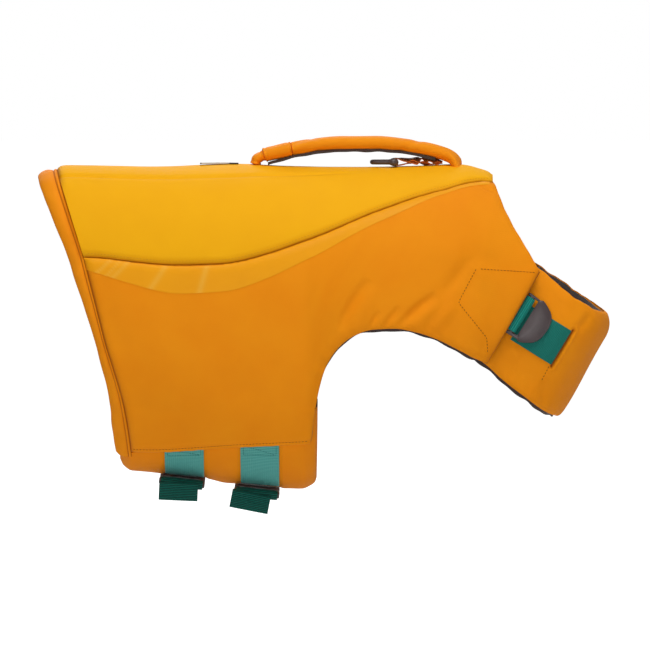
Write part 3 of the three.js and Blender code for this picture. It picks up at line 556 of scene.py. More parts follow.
def shell(name, outer, inner, finish, marks=None):
    """A closed wall between two grids of points with the same rows and columns."""
    rows, cols = outer.shape[:2]
    index = np.arange(rows * cols).reshape(rows, cols)
    low = index + rows * cols
    rim, deep = rim_of(index), rim_of(low)
    sides = np.stack([rim[1:], rim[:-1], deep[:-1], deep[1:]], -1)
    faces = np.concatenate([quads(index), quads(low)[:, ::-1], sides])
    points = np.concatenate([outer.reshape(-1, 3), inner.reshape(-1, 3)])
    place = np.tile(place_of(outer).reshape(-1, 3), (2, 1))
    both = {key: np.tile(values.reshape(-1), 2) for key, values in (marks or {}).items()}
    return add_piece(name, points, faces, finish, place, both)


def tube(name, rings, finish, closed=False, body=BODY, marks=None):
    """A skin over rings of points. Open ends are filled."""
    rings = np.asarray(rings, float)
    count, around = rings.shape[:2]
    index = np.arange(count * around).reshape(count, around)
    index = np.concatenate([index, index[:, :1]], 1)
    if closed:
        index = np.concatenate([index, index[:1]], 0)
    faces = quads(index)
    points = rings.reshape(-1, 3)
    place = place_of(rings).reshape(-1, 3)
    if not closed:
        tips = np.stack([rings[0].mean(0), rings[-1].mean(0)])
        points = np.concatenate([points, tips])
        place = np.concatenate([place, place[[0, -1]]])
        for ring, tip in ((index[0], count * around), (index[-1][::-1], count * around + 1)):
            fan = np.stack([ring[1:], ring[:-1], np.full(around, tip), np.full(around, tip)], -1)
            faces = np.concatenate([faces, fan])
    return add_piece(name, points, faces, finish, place, marks, body)


def to_far(points):
    return points * np.array([1, -1, 1])


SIDES = (("near", np.array), ("far", to_far))


def sheet_size(grid):
    """Width, length and area in metres of one face of a grid of points."""
    across = np.linalg.norm(np.diff(grid, axis=1), axis=-1).sum(1).max() / 1000
    along = np.linalg.norm(np.diff(grid, axis=0), axis=-1).sum(0).max() / 1000
    first = np.cross(grid[1:, :-1] - grid[:-1, :-1], grid[:-1, 1:] - grid[:-1, :-1])
    other = np.cross(grid[1:, :-1] - grid[1:, 1:], grid[:-1, 1:] - grid[1:, 1:])
    area = (np.linalg.norm(first, axis=-1).sum() + np.linalg.norm(other, axis=-1).sum()) / 2e6
    return (across, along), min(area, across * along)


def cut(piece, grid, held, *rests_on):
    """Works out the flat size and area of one face of a sheet of cloth."""
    flat, area = sheet_size(grid)


# ---------- side panels, shiny bands and their lining

LONG_ROWS = 250
TOP_STEPS, OPEN_STEPS, HEM_STEPS = 11, 62, 15
side_rows = even_rows(LAST_ROW, LONG_ROWS)
side_length = side_curve["seam_z"](side_rows) - side_curve["low_z"](side_rows)
top_part = 10 * np.linspace(0, 1, TOP_STEPS) ** 1.4
hem_part = 16 * (1 - (1 - np.linspace(0, 1, HEM_STEPS)) ** 1.4)
open_part = np.linspace(0, 1, OPEN_STEPS)[1:-1]
side_drops = np.concatenate([
    np.tile(top_part, (LONG_ROWS, 1)),
    10 + open_part * (side_length[:, None] - 26),
    side_length[:, None] - 16 + hem_part,
], 1)
side_x, side_z = side_spot(side_rows[:, None], side_drops)
side_angle = angle_of(side_x, side_z)
side_inner = skin_point(side_x, side_angle, inner_depth(side_x, side_z))
# Painted shade along the seams to the back panel, the rear strip and the flap.
painted_seam_shade = np.exp(-np.minimum.reduce([
    distance_to(line, side_x, side_z)[0] for line in (SEAM_LINE, REAR_LINE, FLAP_LINE)
]) / 1.6)

for side, place_on in SIDES:
    outer = skin_point(side_x, side_angle, side_depth(side_x, side_z, side))
    panel = shell("side_cloth_" + side, place_on(outer), place_on(side_inner), ORANGE, {"seam": painted_seam_shade})
    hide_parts("side_panel_" + side)

BAND_LIFT, BAND_CLOTH = 0.1, 0.22
band_rows = even_rows(NECK_START - 0.4, 220)
band_share = np.linspace(0, 1, 16)
band_drops = side_curve["band"](band_rows)[:, None] * band_share
band_x, band_z = side_spot(band_rows[:, None], band_drops)
band_angle = angle_of(band_x, band_z)
# Slanted streaks of light cloth near the rear end: x at the top and at the bottom, and half width
STREAKS = [(-188, -203, 1.6), (-179, -193, 1.2), (-171, -187, 2.0), (-133, -149, 2.4), (-92, -100, 2.6)]
streak_mark = np.zeros(band_x.shape)
for top_x, low_x, half in STREAKS:
    middle = mix(top_x, low_x, band_share)[None, :]
    streak_mark = np.maximum(streak_mark, np.exp(-((band_x - middle) / half) ** 2))
for side, place_on in SIDES:
    under = side_depth(band_x, band_z, side)
    outer = place_on(skin_point(band_x, band_angle, under - BAND_LIFT - BAND_CLOTH))
    inner = place_on(skin_point(band_x, band_angle, under - BAND_LIFT))
    band = shell("shiny_band_" + side, outer, inner, SHINY, {"streak": streak_mark})
    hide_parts("reflective_band_" + side)
    cut(band, outer, "stretched", "side_cloth_" + side)

LINING_SHOWS, LINING_SHORT = 2.2, 15


def every_second(values, axis):
    """Every second row or column of a grid, and its last one."""
    last = values.shape[axis] - 1
    return np.take(values, np.append(np.arange(0, last, 2), last), axis)


lining_drops = side_drops.copy()
bare = side_rows <= HEM_END
edge_run = run_along(np.stack([side_x[:, -1], side_z[:, -1]], -1))
waves = 1.1 * np.sin(edge_run / 5.3) * np.sin(edge_run / 19 + 1) + 0.7 * np.sin(edge_run / 11 + 2)
reach = np.where(bare, -LINING_SHORT, LINING_SHOWS + waves)
lining_drops = lining_drops * ((side_length + reach) / side_length)[:, None]
lining_x, lining_z = side_spot(side_rows[:, None], lining_drops)
lining_angle = angle_of(lining_x, lining_z)
lining_inner = inner_depth(lining_x, lining_z) + swell(lining_x, lining_z, 0.6) * 0.5 + 0.3
for side, place_on in SIDES:
    grid = place_on(skin_point(lining_x, lining_angle, lining_inner + LINING_GAP))
    inner = place_on(skin_point(lining_x, lining_angle, lining_inner + LINING_GAP + LINING_THICK))
    grid, inner = [every_second(every_second(points, 0), 1) for points in (grid, inner)]
    lining = shell("side_lining_" + side, grid, inner, LINING)
    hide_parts("lining_side_" + side)
    cut(lining, grid, "stretched", "side_cloth_" + side)


# ---------- back panel and its lining

BACK_CREASE = 0.68
BACK_STEPS = 70
BACK_FOLDS = [(-150, 40, 14, 0.8), (-60, -35, 16, 0.7), (30, 30, 18, 0.8), (150, -30, 9, 0.9), (168, 34, 7, 0.8)]
back_rows = even_rows(NECK_START, 230)
seam_x, seam_z = side_curve["seam_x"](back_rows), side_curve["seam_z"](back_rows)
seam_angle = angle_of(seam_x, seam_z) + SEAM_GAP / 100
half_share = np.concatenate([0.1 * np.linspace(0, 1, 9) ** 1.3, np.linspace(0.1, 1, BACK_STEPS)[1:]])
half_angle = mix(seam_angle[:, None], math.pi / 2, half_share)
half_z = middle_at(seam_x)[:, None] + height_at(seam_x)[:, None] * power(np.sin(half_angle), 2 / ROUNDNESS)
half_x = seam_x[:, None] + row_share(seam_x)[:, None] * (rear_at(half_z) - rear_at(seam_z)[:, None])


def whole(near, far=None):
    """A near half and its mirror, joined at the middle line."""
    return np.concatenate([near, (near if far is None else far)[:, -2::-1]], 1)


back_x, back_z = whole(half_x), whole(half_z)
back_angle = whole(half_angle, math.pi - half_angle)
back_share = whole(np.tile(half_share, (len(back_rows), 1)))


def back_depth(x, z, share, angle):
    from_seam = np.linalg.norm(skin_point(x, angle, 0) - skin_point(seam_x[:, None], np.where(
        angle < math.pi / 2, seam_angle[:, None], math.pi - seam_angle[:, None]), 0), axis=-1)
    neck, neck_along = distance_to(NECK_LINE, x, np.maximum(z, 4))
    rear, rear_along = distance_to(REAR_LINE, x, np.maximum(z, 4))
    seam_run = run_along(np.stack([seam_x, seam_z], -1))[:, None]
    depth = PUFF * round_off(np.minimum.reduce([from_seam, neck, rear]), PUFF_REACH)
    depth = depth + puckers(from_seam, seam_run + 4, 16, 0.3, 6) + puckers(rear, angle * 90, 12, 0.3, 6)
    depth = depth + np.exp(-((from_seam - 3.4) / 1.1) ** 2) * 0.45
    fade = np.clip((70 - x) / 90, 0, 1)
    depth = depth + fade * (1.8 * np.exp(-((share - BACK_CREASE) / 0.022) ** 2))
    y = skin_point(x, angle, 0)[..., 1]
    for fold_x, fold_y, width, deep in BACK_FOLDS:
        bent = fold_x + 0.18 * (y - fold_y)
        depth = depth + deep * np.exp(-((x - bent) / width) ** 2 - ((y - fold_y) / 26) ** 2)
    calm = np.clip(np.minimum.reduce([from_seam, neck, rear]) / 18, 0, 1)
    return depth + swell(x, y, 0.8) * calm, from_seam


back_under, back_from_seam = back_depth(back_x, back_z, back_share, back_angle)
back_inner = inner_depth(back_x, back_z)
back_outer_grid = skin_point(back_x, back_angle, back_under)
# Painted shade along the side seams and the rear strip.
back_painted_seam_shade = np.exp(-np.minimum(back_from_seam, distance_to(REAR_LINE, back_x, np.maximum(back_z, 4))[0]) / 1.6)
back = shell("back_cloth", back_outer_grid, skin_point(back_x, back_angle, back_inner), YELLOW,
             {"seam": back_painted_seam_shade})
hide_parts("back_panel")

pick = slice(None, None, 2)
lining_grid = skin_point(back_x, back_angle, back_inner + LINING_GAP)[pick, pick]
lining_deep = skin_point(back_x, back_angle, back_inner + LINING_GAP + LINING_THICK)[pick, pick]
back_lining = shell("back_lining", lining_grid, lining_deep, LINING)
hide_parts("lining_back")
cut(back_lining, lining_grid, "stretched", "back_cloth")


# ---------- rear edge strip: a boxed edge with a narrow bead beside the panels

STRIP_SECTION = [
    (0, 4.6), (0.07, 3.9), (0.14, 4.2), (0.2, 5.6), (0.28, 5.1), (0.45, 4.7), (0.62, 5.3), (0.78, 6.6),
    (0.9, 8.2), (0.97, 9.8), (1, 11.2), (0.96, 12.6), (0.84, 13.9), (0.6, 14.6), (0.3, 14.6), (0, 14.4),
]
STRIP_TAIL = 6.5
drop_steps = np.linspace(0, side_length[0] + STRIP_TAIL, 116)
near_x, near_z = side_spot(np.zeros(116), drop_steps)
rear_x = np.concatenate([near_x[::-1], back_x[0, 1:-1], near_x])
rear_z_path = np.concatenate([near_z[::-1], back_z[0, 1:-1], near_z])
near_angle = angle_of(near_x, near_z)
rear_angle = np.concatenate([near_angle[::-1], back_angle[0, 1:-1], math.pi - near_angle])
rear_run = run_along(skin_point(rear_x, rear_angle, 0))
section_reach, section_depth = (np.array(v, float) for v in zip(*STRIP_SECTION))
steps = np.linspace(0, len(STRIP_SECTION) - 1, 42)
section_reach = curve_of(np.arange(len(STRIP_SECTION)), section_reach)(steps)
section_depth = curve_of(np.arange(len(STRIP_SECTION)), section_depth)(steps)
PULLS = [(26, 9, 1.5), (54, 7, 1.1), (88, 10, 1.4), (131, 12, 0.8), (176, 10, 0.9), (236, 14, 0.7)]
end_run = rear_run[-1]
pull = np.zeros(rear_run.shape)
for spot, width, deep in PULLS:
    pull += deep * np.exp(-((rear_run - spot) / width) ** 2)
    pull += deep * 0.8 * np.exp(-((rear_run - (end_run - spot * 1.09 - 5)) / width) ** 2)
pull += 0.25 * np.sin(rear_run / 4.1) * np.sin(rear_run / 27)
closing = np.clip(np.minimum(rear_run, end_run - rear_run) / 3, 0, 1) ** 0.5
body_share = np.clip((section_reach - 0.2) / 0.3, 0, 1)
strip_depth = section_depth[None, :] + pull[:, None] * body_share * np.clip((11 - section_depth) / 5, 0, 1)
strip_reach = section_reach[None, :] * strip_at(rear_z_path)[:, None] * (0.9 + 0.1 * closing[:, None])
strip_reach = strip_reach - 0.35 * pull[:, None] * body_share
rings = skin_point(rear_x[:, None], rear_angle[:, None], strip_depth)
rings[..., 0] += -SEAM_GAP - strip_reach
# Painted shade in the groove beside the bead and at the seam with the panels.
bead_painted_shade = np.exp(-((section_reach - 0.19) / 0.035) ** 2) + np.exp(-(section_reach / 0.03) ** 2)
bead_painted_shade = np.where(section_depth < 8, bead_painted_shade, 0)
strip_painted_shade = np.tile(bead_painted_shade, (len(rear_run), 1)).reshape(-1)
strip = tube("rear_edge_strip", rings, EDGE, marks={"seam": np.concatenate([strip_painted_shade, [0, 0]])})
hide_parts("rear_edge_band")


# ---------- belly panel, its straps and its lining

BELLY_DEPTH, BELLY_EDGE, BELLY_SINK = 5.4, 1.8, 11
BELLY_ROWS = table("x sink tuck", [
    (-183, 10, -2.5), (-179, 4.2, -2.5), (-169.5, -0.3, -2.5), (-152, 0, 3.5), (-136, 0, 3.5), (-97, 0, 3.5),
    (-60, 0, 3.5), (-21, 0, 3.5), (3, 0.6, 3.5), (10, 3, 22), (15.5, 6, 33), (18, 11, 34),
])
STRAPS = [
    {"name": "rear", "from": -136, "to": -97, "middle": -118, "tail": -121.5, "tilt": 2.5},
    {"name": "front", "from": -60, "to": -21, "middle": -43, "tail": -48.5, "tilt": 11},
]
STRAP_END_SHARE = 0.75
hem_at = curve_of(SIDE["low_x"][:HEM_END + 1], SIDE["low_z"][:HEM_END + 1])
sink_at = curve_of(BELLY_ROWS["x"], BELLY_ROWS["sink"])
tuck_at = curve_of(BELLY_ROWS["x"], BELLY_ROWS["tuck"])
KEEL = -math.pi / 2


def belly_angle(x, share):
    """share is 0 under the near hem, 1 at the keel and 2 under the far hem."""
    start = angle_of(x, hem_at(x) + tuck_at(x))
    return mix(start, KEEL, share)


def belly_depth(x, share):
    dent = 0
    for strap in STRAPS:
        gap = np.abs(x - (strap["from"] + strap["to"]) / 2)
        press = np.clip((24.5 - gap) / 6, 0, 1)
        dent = dent + press * press * (3 - 2 * press) * 1.5
    bulge = -1.2 * np.exp(-((x + 78) / 10) ** 2) - 0.9 * np.exp(-((x - 2) / 9) ** 2)
    wave = 0.5 * np.sin(x / 9 + share * 3) * np.sin(share * 5 + 1)
    return BELLY_DEPTH + sink_at(x) + dent + bulge + wave * 0.6


def belly_inner(x, share):
    foam = mix(BELLY_FOAM, BELLY_FOAM / 2, (sink_at(x) / BELLY_SINK) ** 2)
    return BELLY_DEPTH + np.maximum(sink_at(x) + BELLY_EDGE + 2.2, foam)


def belly_grid(xs, shares, depth_of, extra=0.0):
    x, share = np.meshgrid(xs, shares, indexing="ij")
    return skin_point(x, belly_angle(x, share), depth_of(x, share) + extra)


belly_x = np.concatenate([
    -183 + 14 * np.linspace(0, 1, 12) ** 1.6,
    np.linspace(-169, 0, 100)[1:],
    18 - 18 * np.linspace(1, 0, 16)[1:] ** 1.6,
])
belly_shares = np.linspace(0, 2, 121)
belly = shell("belly_cloth", belly_grid(belly_x, belly_shares, belly_depth),
              belly_grid(belly_x, belly_shares, belly_inner), BELLY)
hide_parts("belly_panel")
thin_x, thin_shares = belly_x[::2], belly_shares[::2]
belly_lining = shell("belly_lining", belly_grid(thin_x, thin_shares, belly_inner, LINING_GAP),
                     belly_grid(thin_x, thin_shares, belly_inner, LINING_GAP + LINING_THICK), LINING)
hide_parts("lining_belly")
cut(belly_lining, belly_grid(thin_x, thin_shares, belly_inner), "stretched", "belly_cloth")

RIB_PITCH = 2.1
for strap in STRAPS:
    xs = np.linspace(strap["from"], strap["to"], 98)
    shares = np.linspace(0, STRAP_END_SHARE, 32)
    rib = 0.14 * np.cos(TURN * (xs - xs[0]) / RIB_PITCH)
    edge = 0.5 * np.exp(-np.minimum(xs - xs[0], xs[-1] - xs) / 0.5)
    over = (SEAM_GAP + WEBBING + rib - edge)[:, None]
    for side, place_on in SIDES:
        outer = place_on(belly_grid(xs, shares, belly_depth, -over))
        inner = place_on(belly_grid(xs, shares, belly_depth, -SEAM_GAP))
        webbing = shell("belly_webbing_" + strap["name"] + "_" + side, outer, inner, TEAL)
        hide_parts("belly_strap_" + strap["name"] + "_" + side)
        cut(webbing, inner, "stretched", "belly_cloth")


def ribbon(name, path, across, width, thick, finish, held, rests_on,
           pitch=2.0, relief=0.16, width_steps=10, edge=None):
    """Webbing along a path of points, ribbed crosswise. across is the direction of its width."""
    path, across = np.asarray(path, float), np.asarray(across, float)
    run = run_along(path)
    count = max(24, int(run[-1] / pitch * 6))
    even = np.linspace(0, run[-1], count)
    line = np.stack([np.interp(even, run, path[:, k]) for k in range(3)], -1)
    for _ in range(3):
        line[1:-1] = (line[:-2] + 2 * line[1:-1] + line[2:]) / 4
    along = np.gradient(line, axis=0)
    along /= np.linalg.norm(along, axis=-1, keepdims=True)
    out = np.cross(along, across)
    out /= np.linalg.norm(out, axis=-1, keepdims=True)
    ribs = relief * np.cos(TURN * even / pitch)
    shares = np.linspace(-0.5, 0.5, width_steps)
    thin = 1 - 0.35 * (np.abs(shares) * 2) ** 8
    lift = (thick / 2 * thin)[None, :] + ribs[:, None]
    base = line[:, None, :] + across * width * shares[None, :, None]
    if edge is not None:
        base = base + edge(even, shares)
    outer = base + out[:, None, :] * lift[..., None]
    inner = base - out[:, None, :] * lift[..., None]
    webbing = shell(name, outer, inner, finish)
    cut(webbing, base, held, rests_on)
    return webbing


def plate(name, outline, holes, low, high, bevel, finish, bring, join=()):
    """A moulded plate with round edges, drawn in its own plane and brought to its place."""
    data = bpy.data.curves.new(name, "CURVE")
    data.dimensions, data.fill_mode = "2D", "BOTH"
    for points in (outline, *holes):
        spline = data.splines.new("POLY")
        spline.points.add(len(points) - 1)
        spline.points.foreach_set("co", [v for x, y in points for v in (x, y, 0, 1)])
        spline.use_cyclic_u = True
    data.extrude = (high - low) / 2 - bevel
    data.bevel_depth, data.bevel_resolution, data.offset = bevel, 3, -bevel
    drawn = bpy.data.objects.new(name, data)
    bpy.context.scene.collection.objects.link(drawn)
    solid = bpy.data.meshes.new_from_object(drawn.evaluated_get(bpy.context.evaluated_depsgraph_get()))
    bpy.data.objects.remove(drawn)
    bpy.data.curves.remove(data)
    points = np.array([tuple(v.co) for v in solid.vertices])
    points[:, 2] += (high + low) / 2
    lists = [tuple(p.vertices) for p in solid.polygons]
    bpy.data.meshes.remove(solid)
    for more_points, more_faces in join:
        start = len(points)
        points = np.concatenate([points, more_points])
        lists += [tuple(start + i for i in face) for face in more_faces]
    return finish_plate(name, bring(points), lists, finish)


def finish_plate(name, points, lists, finish):
    """Joins what touches, turns the faces outwards and makes the piece."""
    mesh = bpy.data.meshes.new(name)
    mesh.from_pydata((points / 1000).tolist(), [], lists)
    joined = bmesh.new()
    joined.from_mesh(mesh)
    bmesh.ops.remove_doubles(joined, verts=joined.verts, dist=1e-6)
    bmesh.ops.recalc_face_normals(joined, faces=joined.faces)
    joined.to_mesh(mesh)
    joined.free()
    return put_on(name, mesh, finish, sharp=40)


def box_of(x1, y1, x2, y2):
    return [(x1, y1), (x2, y1), (x2, y2), (x1, y2)]


def rounded(points, radius=3.0, steps=6):
    """A closed outline with its corners rounded."""
    out = []
    count = len(points)
    for i, corner in enumerate(points):
        corner = np.array(corner, float)
        before, after = np.array(points[i - 1], float), np.array(points[(i + 1) % count], float)
        r1 = min(radius, np.linalg.norm(before - corner) / 2.2)
        r2 = min(radius, np.linalg.norm(after - corner) / 2.2)
        a = corner + (before - corner) / np.linalg.norm(before - corner) * r1
        b = corner + (after - corner) / np.linalg.norm(after - corner) * r2
        for t in np.linspace(0, 1, steps):
            out.append(tuple(a * (1 - t) ** 2 + 2 * corner * t * (1 - t) + b * t * t))
    return out


BUCKLE_WIDTH, BAR, SLOT = 46, 3.5, 5.5
BUCKLE_DROP, BUCKLE_THICK, PLUG_THICK = 0.4, 10, 6
PLUG, SOCKET = (-39, -2), (-1.7, 37)
LOOP_WIDTH, SLOT_MARGIN = 42, 1.8


def slope_of(strap):
    return math.atan2(keel_at(strap["from"]) - keel_at(strap["to"]), strap["to"] - strap["from"])


def turned(points, angle, shift):
    """Points turned about Y, nose down, and moved."""
    c, s = math.cos(angle), math.sin(angle)
    x, y, z = points[..., 0], points[..., 1], points[..., 2]
    return np.stack([x * c + z * s, y, -x * s + z * c], -1) + np.asarray(shift, float)


for strap in STRAPS:
    name, slope = strap["name"], slope_of(strap)
    belly_z = float(keel_at(strap["middle"])) + BELLY_DEPTH
    half = BUCKLE_WIDTH / 2
    plug_top = -BUCKLE_DROP - (BUCKLE_THICK - PLUG_THICK) / 2
    plug_low = plug_top - PLUG_THICK

    def to_belly(points):
        return turned(points, slope, (strap["middle"], 0, belly_z))

    socket_outline = rounded([
        (-half + 3, SOCKET[0]), (-11, SOCKET[0]), (-8, SOCKET[0] + 1.6), (8, SOCKET[0] + 1.6), (11, SOCKET[0]),
        (half - 3, SOCKET[0]), (half, SOCKET[0] + 8), (half - 1.5, 24), (half, SOCKET[1] - 3), (half - 3, SOCKET[1]),
        (-half + 3, SOCKET[1]), (-half, SOCKET[1] - 3), (-half + 1.5, 24), (-half, SOCKET[0] + 8),
    ], 3)
    slot_half = half - SLOT_MARGIN
    slot_far = box_of(-slot_half, SOCKET[1] - BAR, slot_half, SOCKET[1] - BAR - SLOT)
    side_hole = [(12.5, 9), (18.5, 7), (19, 20), (13.5, 18)]
    other_hole = [(-x, y) for x, y in side_hole]
    socket = plate("belly_buckle_socket_" + name, socket_outline,
                   [rounded(slot_far, 1.5), rounded(side_hole, 2), rounded(other_hole, 2)],
                   -BUCKLE_DROP - BUCKLE_THICK, -BUCKLE_DROP, 1.3, PLASTIC, to_belly)
    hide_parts("belly_buckle_" + name + "_socket")
    plug_outline = rounded([
        (half - 3, PLUG[1]), (half - 3.5, PLUG[1] - 9), (half, PLUG[1] - 14),
        (half, PLUG[0] + 3), (half - 3, PLUG[0]),
        (-half + 3, PLUG[0]), (-half, PLUG[0] + 3), (-half, PLUG[1] - 14), (-half + 3.5, PLUG[1] - 9),
        (-half + 3, PLUG[1]),
    ], 3)
    slot_near = box_of(-slot_half, PLUG[0] + BAR, slot_half, PLUG[0] + BAR + SLOT)
    prong_gap = [(6, -4.5), (14.5, -4.5), (13, -17), (7.5, -19)]
    plug = plate("belly_buckle_plug_" + name, plug_outline,
                 [rounded(slot_near, 1.5), rounded(prong_gap, 2), rounded([(-x, y) for x, y in prong_gap], 2)],
                 plug_low, plug_top, 1.2, PLASTIC, to_belly)
    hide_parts("belly_buckle_" + name + "_plug")

    gap = WEBBING / 2 + SEAM_GAP

    def loop_path(outer, way, upper, lower):
        turn_mid = (upper + lower) / 2
        radius = (upper - lower) / 2 + gap
        angles = np.linspace(90, -90, 15) if way > 0 else np.linspace(90, 270, 15)
        arc = [(0, outer - way * (radius - gap - SEAM_GAP) + radius * math.cos(math.radians(a)) * 0.9,
                turn_mid + radius * math.sin(math.radians(a))) for a in angles]
        inside = outer - way * (BAR + 3)
        return [(0, inside, upper + gap - 0.5)] + arc + [(0, inside, lower - gap + 0.5)]

    for side, outer_end, way, top, low in (
        ("near", PLUG[0], -1, plug_top, plug_low), ("far", SOCKET[1], 1, -BUCKLE_DROP, -BUCKLE_DROP - BUCKLE_THICK)
    ):
        path = to_belly(np.array(loop_path(outer_end, way, top, low), float))
        across = turned(np.array([1.0, 0, 0]), slope, (0, 0, 0))
        loop = ribbon("belly_bar_webbing_" + name + "_" + side, path, across, LOOP_WIDTH, WEBBING, TEAL_IN_SHADE,
                      "folded", "belly_buckle_" + ("plug_" if side == "near" else "socket_") + name)
        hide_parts("belly_loop_" + name + "_" + side)

    out = PLUG[0] - 2 * gap
    fold = plug_top - 3
    tail_path = np.array([
        (0, out - 0.8, plug_low - 3), (0, out - 0.8, plug_top - 4.5), (0, out - 1.2, plug_top - 2.8),
        (0, out - 2.4, plug_top - 2), (0, out - 3.7, plug_top - 2.8), (0, out - 4.1, plug_top - 4.5),
        (0, out - 4.6, plug_top - 9), (0, out - 4.7, plug_top - 14), (0, out - 3.4, plug_top - 20),
    ], float) - [0, 0, fold]
    tilt = math.radians(strap["tilt"])
    path = turned(tail_path, tilt, (strap["tail"], 0, belly_z + fold))
    across = turned(np.array([1.0, 0, 0]), tilt, (0, 0, 0))

    def curl(even, shares):
        """The hanging end bows towards its corners."""
        low_part = np.clip(even / even[-1] - 0.35, 0, 1)[:, None]
        bow = -1.6 * low_part * (2 * shares[None, :]) ** 4
        return np.stack([bow * 0, -bow * 0.8, bow * 0], -1)

    tail = ribbon("belly_tail_webbing_" + name, path, across, STRAP_WIDTH, WEBBING, TEAL_IN_SHADE,
                  "folded", "belly_bar_webbing_" + name + "_near", edge=curl, width_steps=24, relief=0.3)
    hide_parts("belly_tail_" + name)


# ---------- neck band, its lining and its straps

NECK_X, NECK_Z, NECK_TILT = 235, -80, math.radians(32)
NECK_FRONT, NECK_BEND, NECK_ROUND = 103.6, 45, 2.2
NECK_LEAN, NECK_LEAN_DEPTH, NECK_SLANT = 14, 27, 0.035
NECK_FOAM, NECK_EDGE, NECK_TUCKED, NECK_PUFF, FLAP_END = 10, 6, 4.5, 3, 10.5
neck_width = curve_of([0, 40, 80, 121], [63, 70.5, 72.5, 71])
FORWARD = np.array([math.cos(NECK_TILT), 0, -math.sin(NECK_TILT)])
DOWNWARD = np.array([-math.sin(NECK_TILT), 0, -math.cos(NECK_TILT)])
TURN_DEGREES = 180
RUN_START = -2
NECK_END = 2 * NECK_BEND + TURN_DEGREES - RUN_START
# Top and lower edge of the neck band, from the near flap round the front to the far one
top_line = curve_of([-2, 10, 33, 50, 78, 105, 135, 180, 215, 242, 272], [
    1.5, 3, 7, 8.8, 9, 7.2, 5.5, 4.6, 4.2, 2.6, 2,
])
neck_low = curve_of([-2, 10, 33, 55, 90, 135, 180, 215, 237, 262, 272], [
    112, 112.5, 116.5, 119, 121.5, 119.5, 120, 118.5, 117, 112, 112,
])


def neck_top(run):
    """The top edge of the neck band, with its small gathers."""
    side_part = np.clip(np.abs(run - 135) / 60 - 0.5, 0, 1)
    return top_line(run) + side_part * (0.55 * np.sin(run / 3.1) * np.sin(run / 11 + 0.6) + 0.4 * np.sin(run / 6.3))


def neck_point(run, w, depth):
    """run goes from -2 to 45 along the near side, then by degrees round the front, then back along the far one."""
    run, w, depth = np.broadcast_arrays(np.asarray(run, float), w, depth)
    width = neck_width(w)
    reach = NECK_FRONT + NECK_SLANT * (w - 62) - NECK_LEAN * np.clip(1 - w / NECK_LEAN_DEPTH, 0, 1) ** 2 - NECK_BEND
    angle = np.radians(np.clip(90 - (run - NECK_BEND), -90, 90))
    round_u = reach * power(np.cos(angle), 2 / NECK_ROUND)
    straight = (run < NECK_BEND) | (run > NECK_BEND + TURN_DEGREES)
    far_side = run > NECK_BEND + TURN_DEGREES
    u = np.where(straight, np.where(far_side, 2 * NECK_BEND + TURN_DEGREES - run, run), NECK_BEND + round_u)
    y = -width * power(np.sin(angle), 2 / NECK_ROUND)
    slope_u = np.where(straight, 0, power(np.maximum(u - NECK_BEND, 0) / reach, NECK_ROUND - 1) / reach)
    slope_y = power(y / width, NECK_ROUND - 1) / width
    inward = -FORWARD * slope_u[..., None] - np.array([0, 1, 0]) * slope_y[..., None]
    inward /= np.linalg.norm(inward, axis=-1, keepdims=True)
    spot = np.array([NECK_X, 0, NECK_Z]) + FORWARD * u[..., None] + DOWNWARD * w[..., None]
    spot[..., 1] = y
    return spot + inward * depth[..., None]


NECK_FOLDS = {
    # run, w, run, w, half width, depth
    "near": [
        (71, 36, 76, 14, 5, 1.6), (52, 30, 66, 6, 9, 0.8), (30, 92, 44, 112, 5, 1.2), (52, 96, 60, 118, 6, 1.5),
        (70, 98, 82, 119, 5, 1.1), (92, 60, 104, 104, 11, 0.9), (40, 20, 46, 4, 8, -0.8), (20, 84, 38, 92, 6, -0.9),
        (104, 10, 112, 60, 10, 0.7), (62, 86, 96, 92, 7, -0.7),
    ],
    "far": [
        (73, 38, 80, 12, 5, 1.4), (50, 34, 58, 8, 8, 0.9), (34, 90, 50, 114, 5, 1.3), (64, 94, 70, 118, 6, 1.3),
        (90, 58, 98, 102, 10, 0.9), (22, 86, 42, 90, 6, -0.9), (108, 14, 110, 64, 10, 0.7),
    ],
}
SLIT_RUN, SLIT_TOP, SLIT_LOW = 66.6, 37.6, 79.4


def mirrored(run):
    """The run of the same place on the other side."""
    return NECK_END + RUN_START - run


def slit_gap(run, w):
    return distance_to([(SLIT_RUN, SLIT_TOP), (SLIT_RUN, SLIT_LOW)], run, w)[0]


def neck_depth(run, w):
    from_top, from_low = w - neck_top(run), neck_low(run) - w
    nearest = np.minimum(from_top, from_low)
    depth = NECK_PUFF * round_off(nearest, PUFF_REACH)
    depth = depth + puckers(from_top, run, 14, 0.35, 7) + puckers(from_low, run, 15, 0.6, 8)
    for side, at in (("near", run), ("far", mirrored(run))):
        for ar, aw, br, bw, width, deep in NECK_FOLDS[side]:
            gap, along = distance_to([(ar, aw), (br, bw)], at, w)
            taper = np.sin(np.pi * np.clip(along / math.hypot(br - ar, bw - aw), 0.04, 0.96)) ** 0.6
            depth = depth + deep * np.exp(-(gap / width) ** 2) * taper
        gap = slit_gap(at, w)
        depth = depth + 2.6 * np.exp(-(gap / 1.5) ** 2) - 0.8 * np.exp(-((gap - 3.6) / 1.8) ** 2) * (at > SLIT_RUN)
    calm = np.clip(nearest / 16, 0, 1)
    return depth + 0.5 * calm * (np.sin(run / 19 + w / 23) + 0.6 * np.sin(w / 14 - run / 31 + 2))


def neck_inner(run, w):
    nearest = np.clip(np.minimum(w - neck_top(run), neck_low(run) - w), 0, 99)
    foam = mix(NECK_FOAM, NECK_EDGE, thinning(nearest, 1, 12))
    tucked = np.minimum(run, mirrored(run)) < FLAP_END
    return np.where(tucked, NECK_TUCKED, foam)


# Painted shadow along the slits where the straps go into the neck band.
def slit_painted_shadow(run, w):
    mark = np.zeros(np.broadcast(run, w).shape)
    for at in (run, mirrored(run)):
        mark = np.maximum(mark, np.exp(-(slit_gap(at, w) / 1.1) ** 2) * 1.8)
    return mark


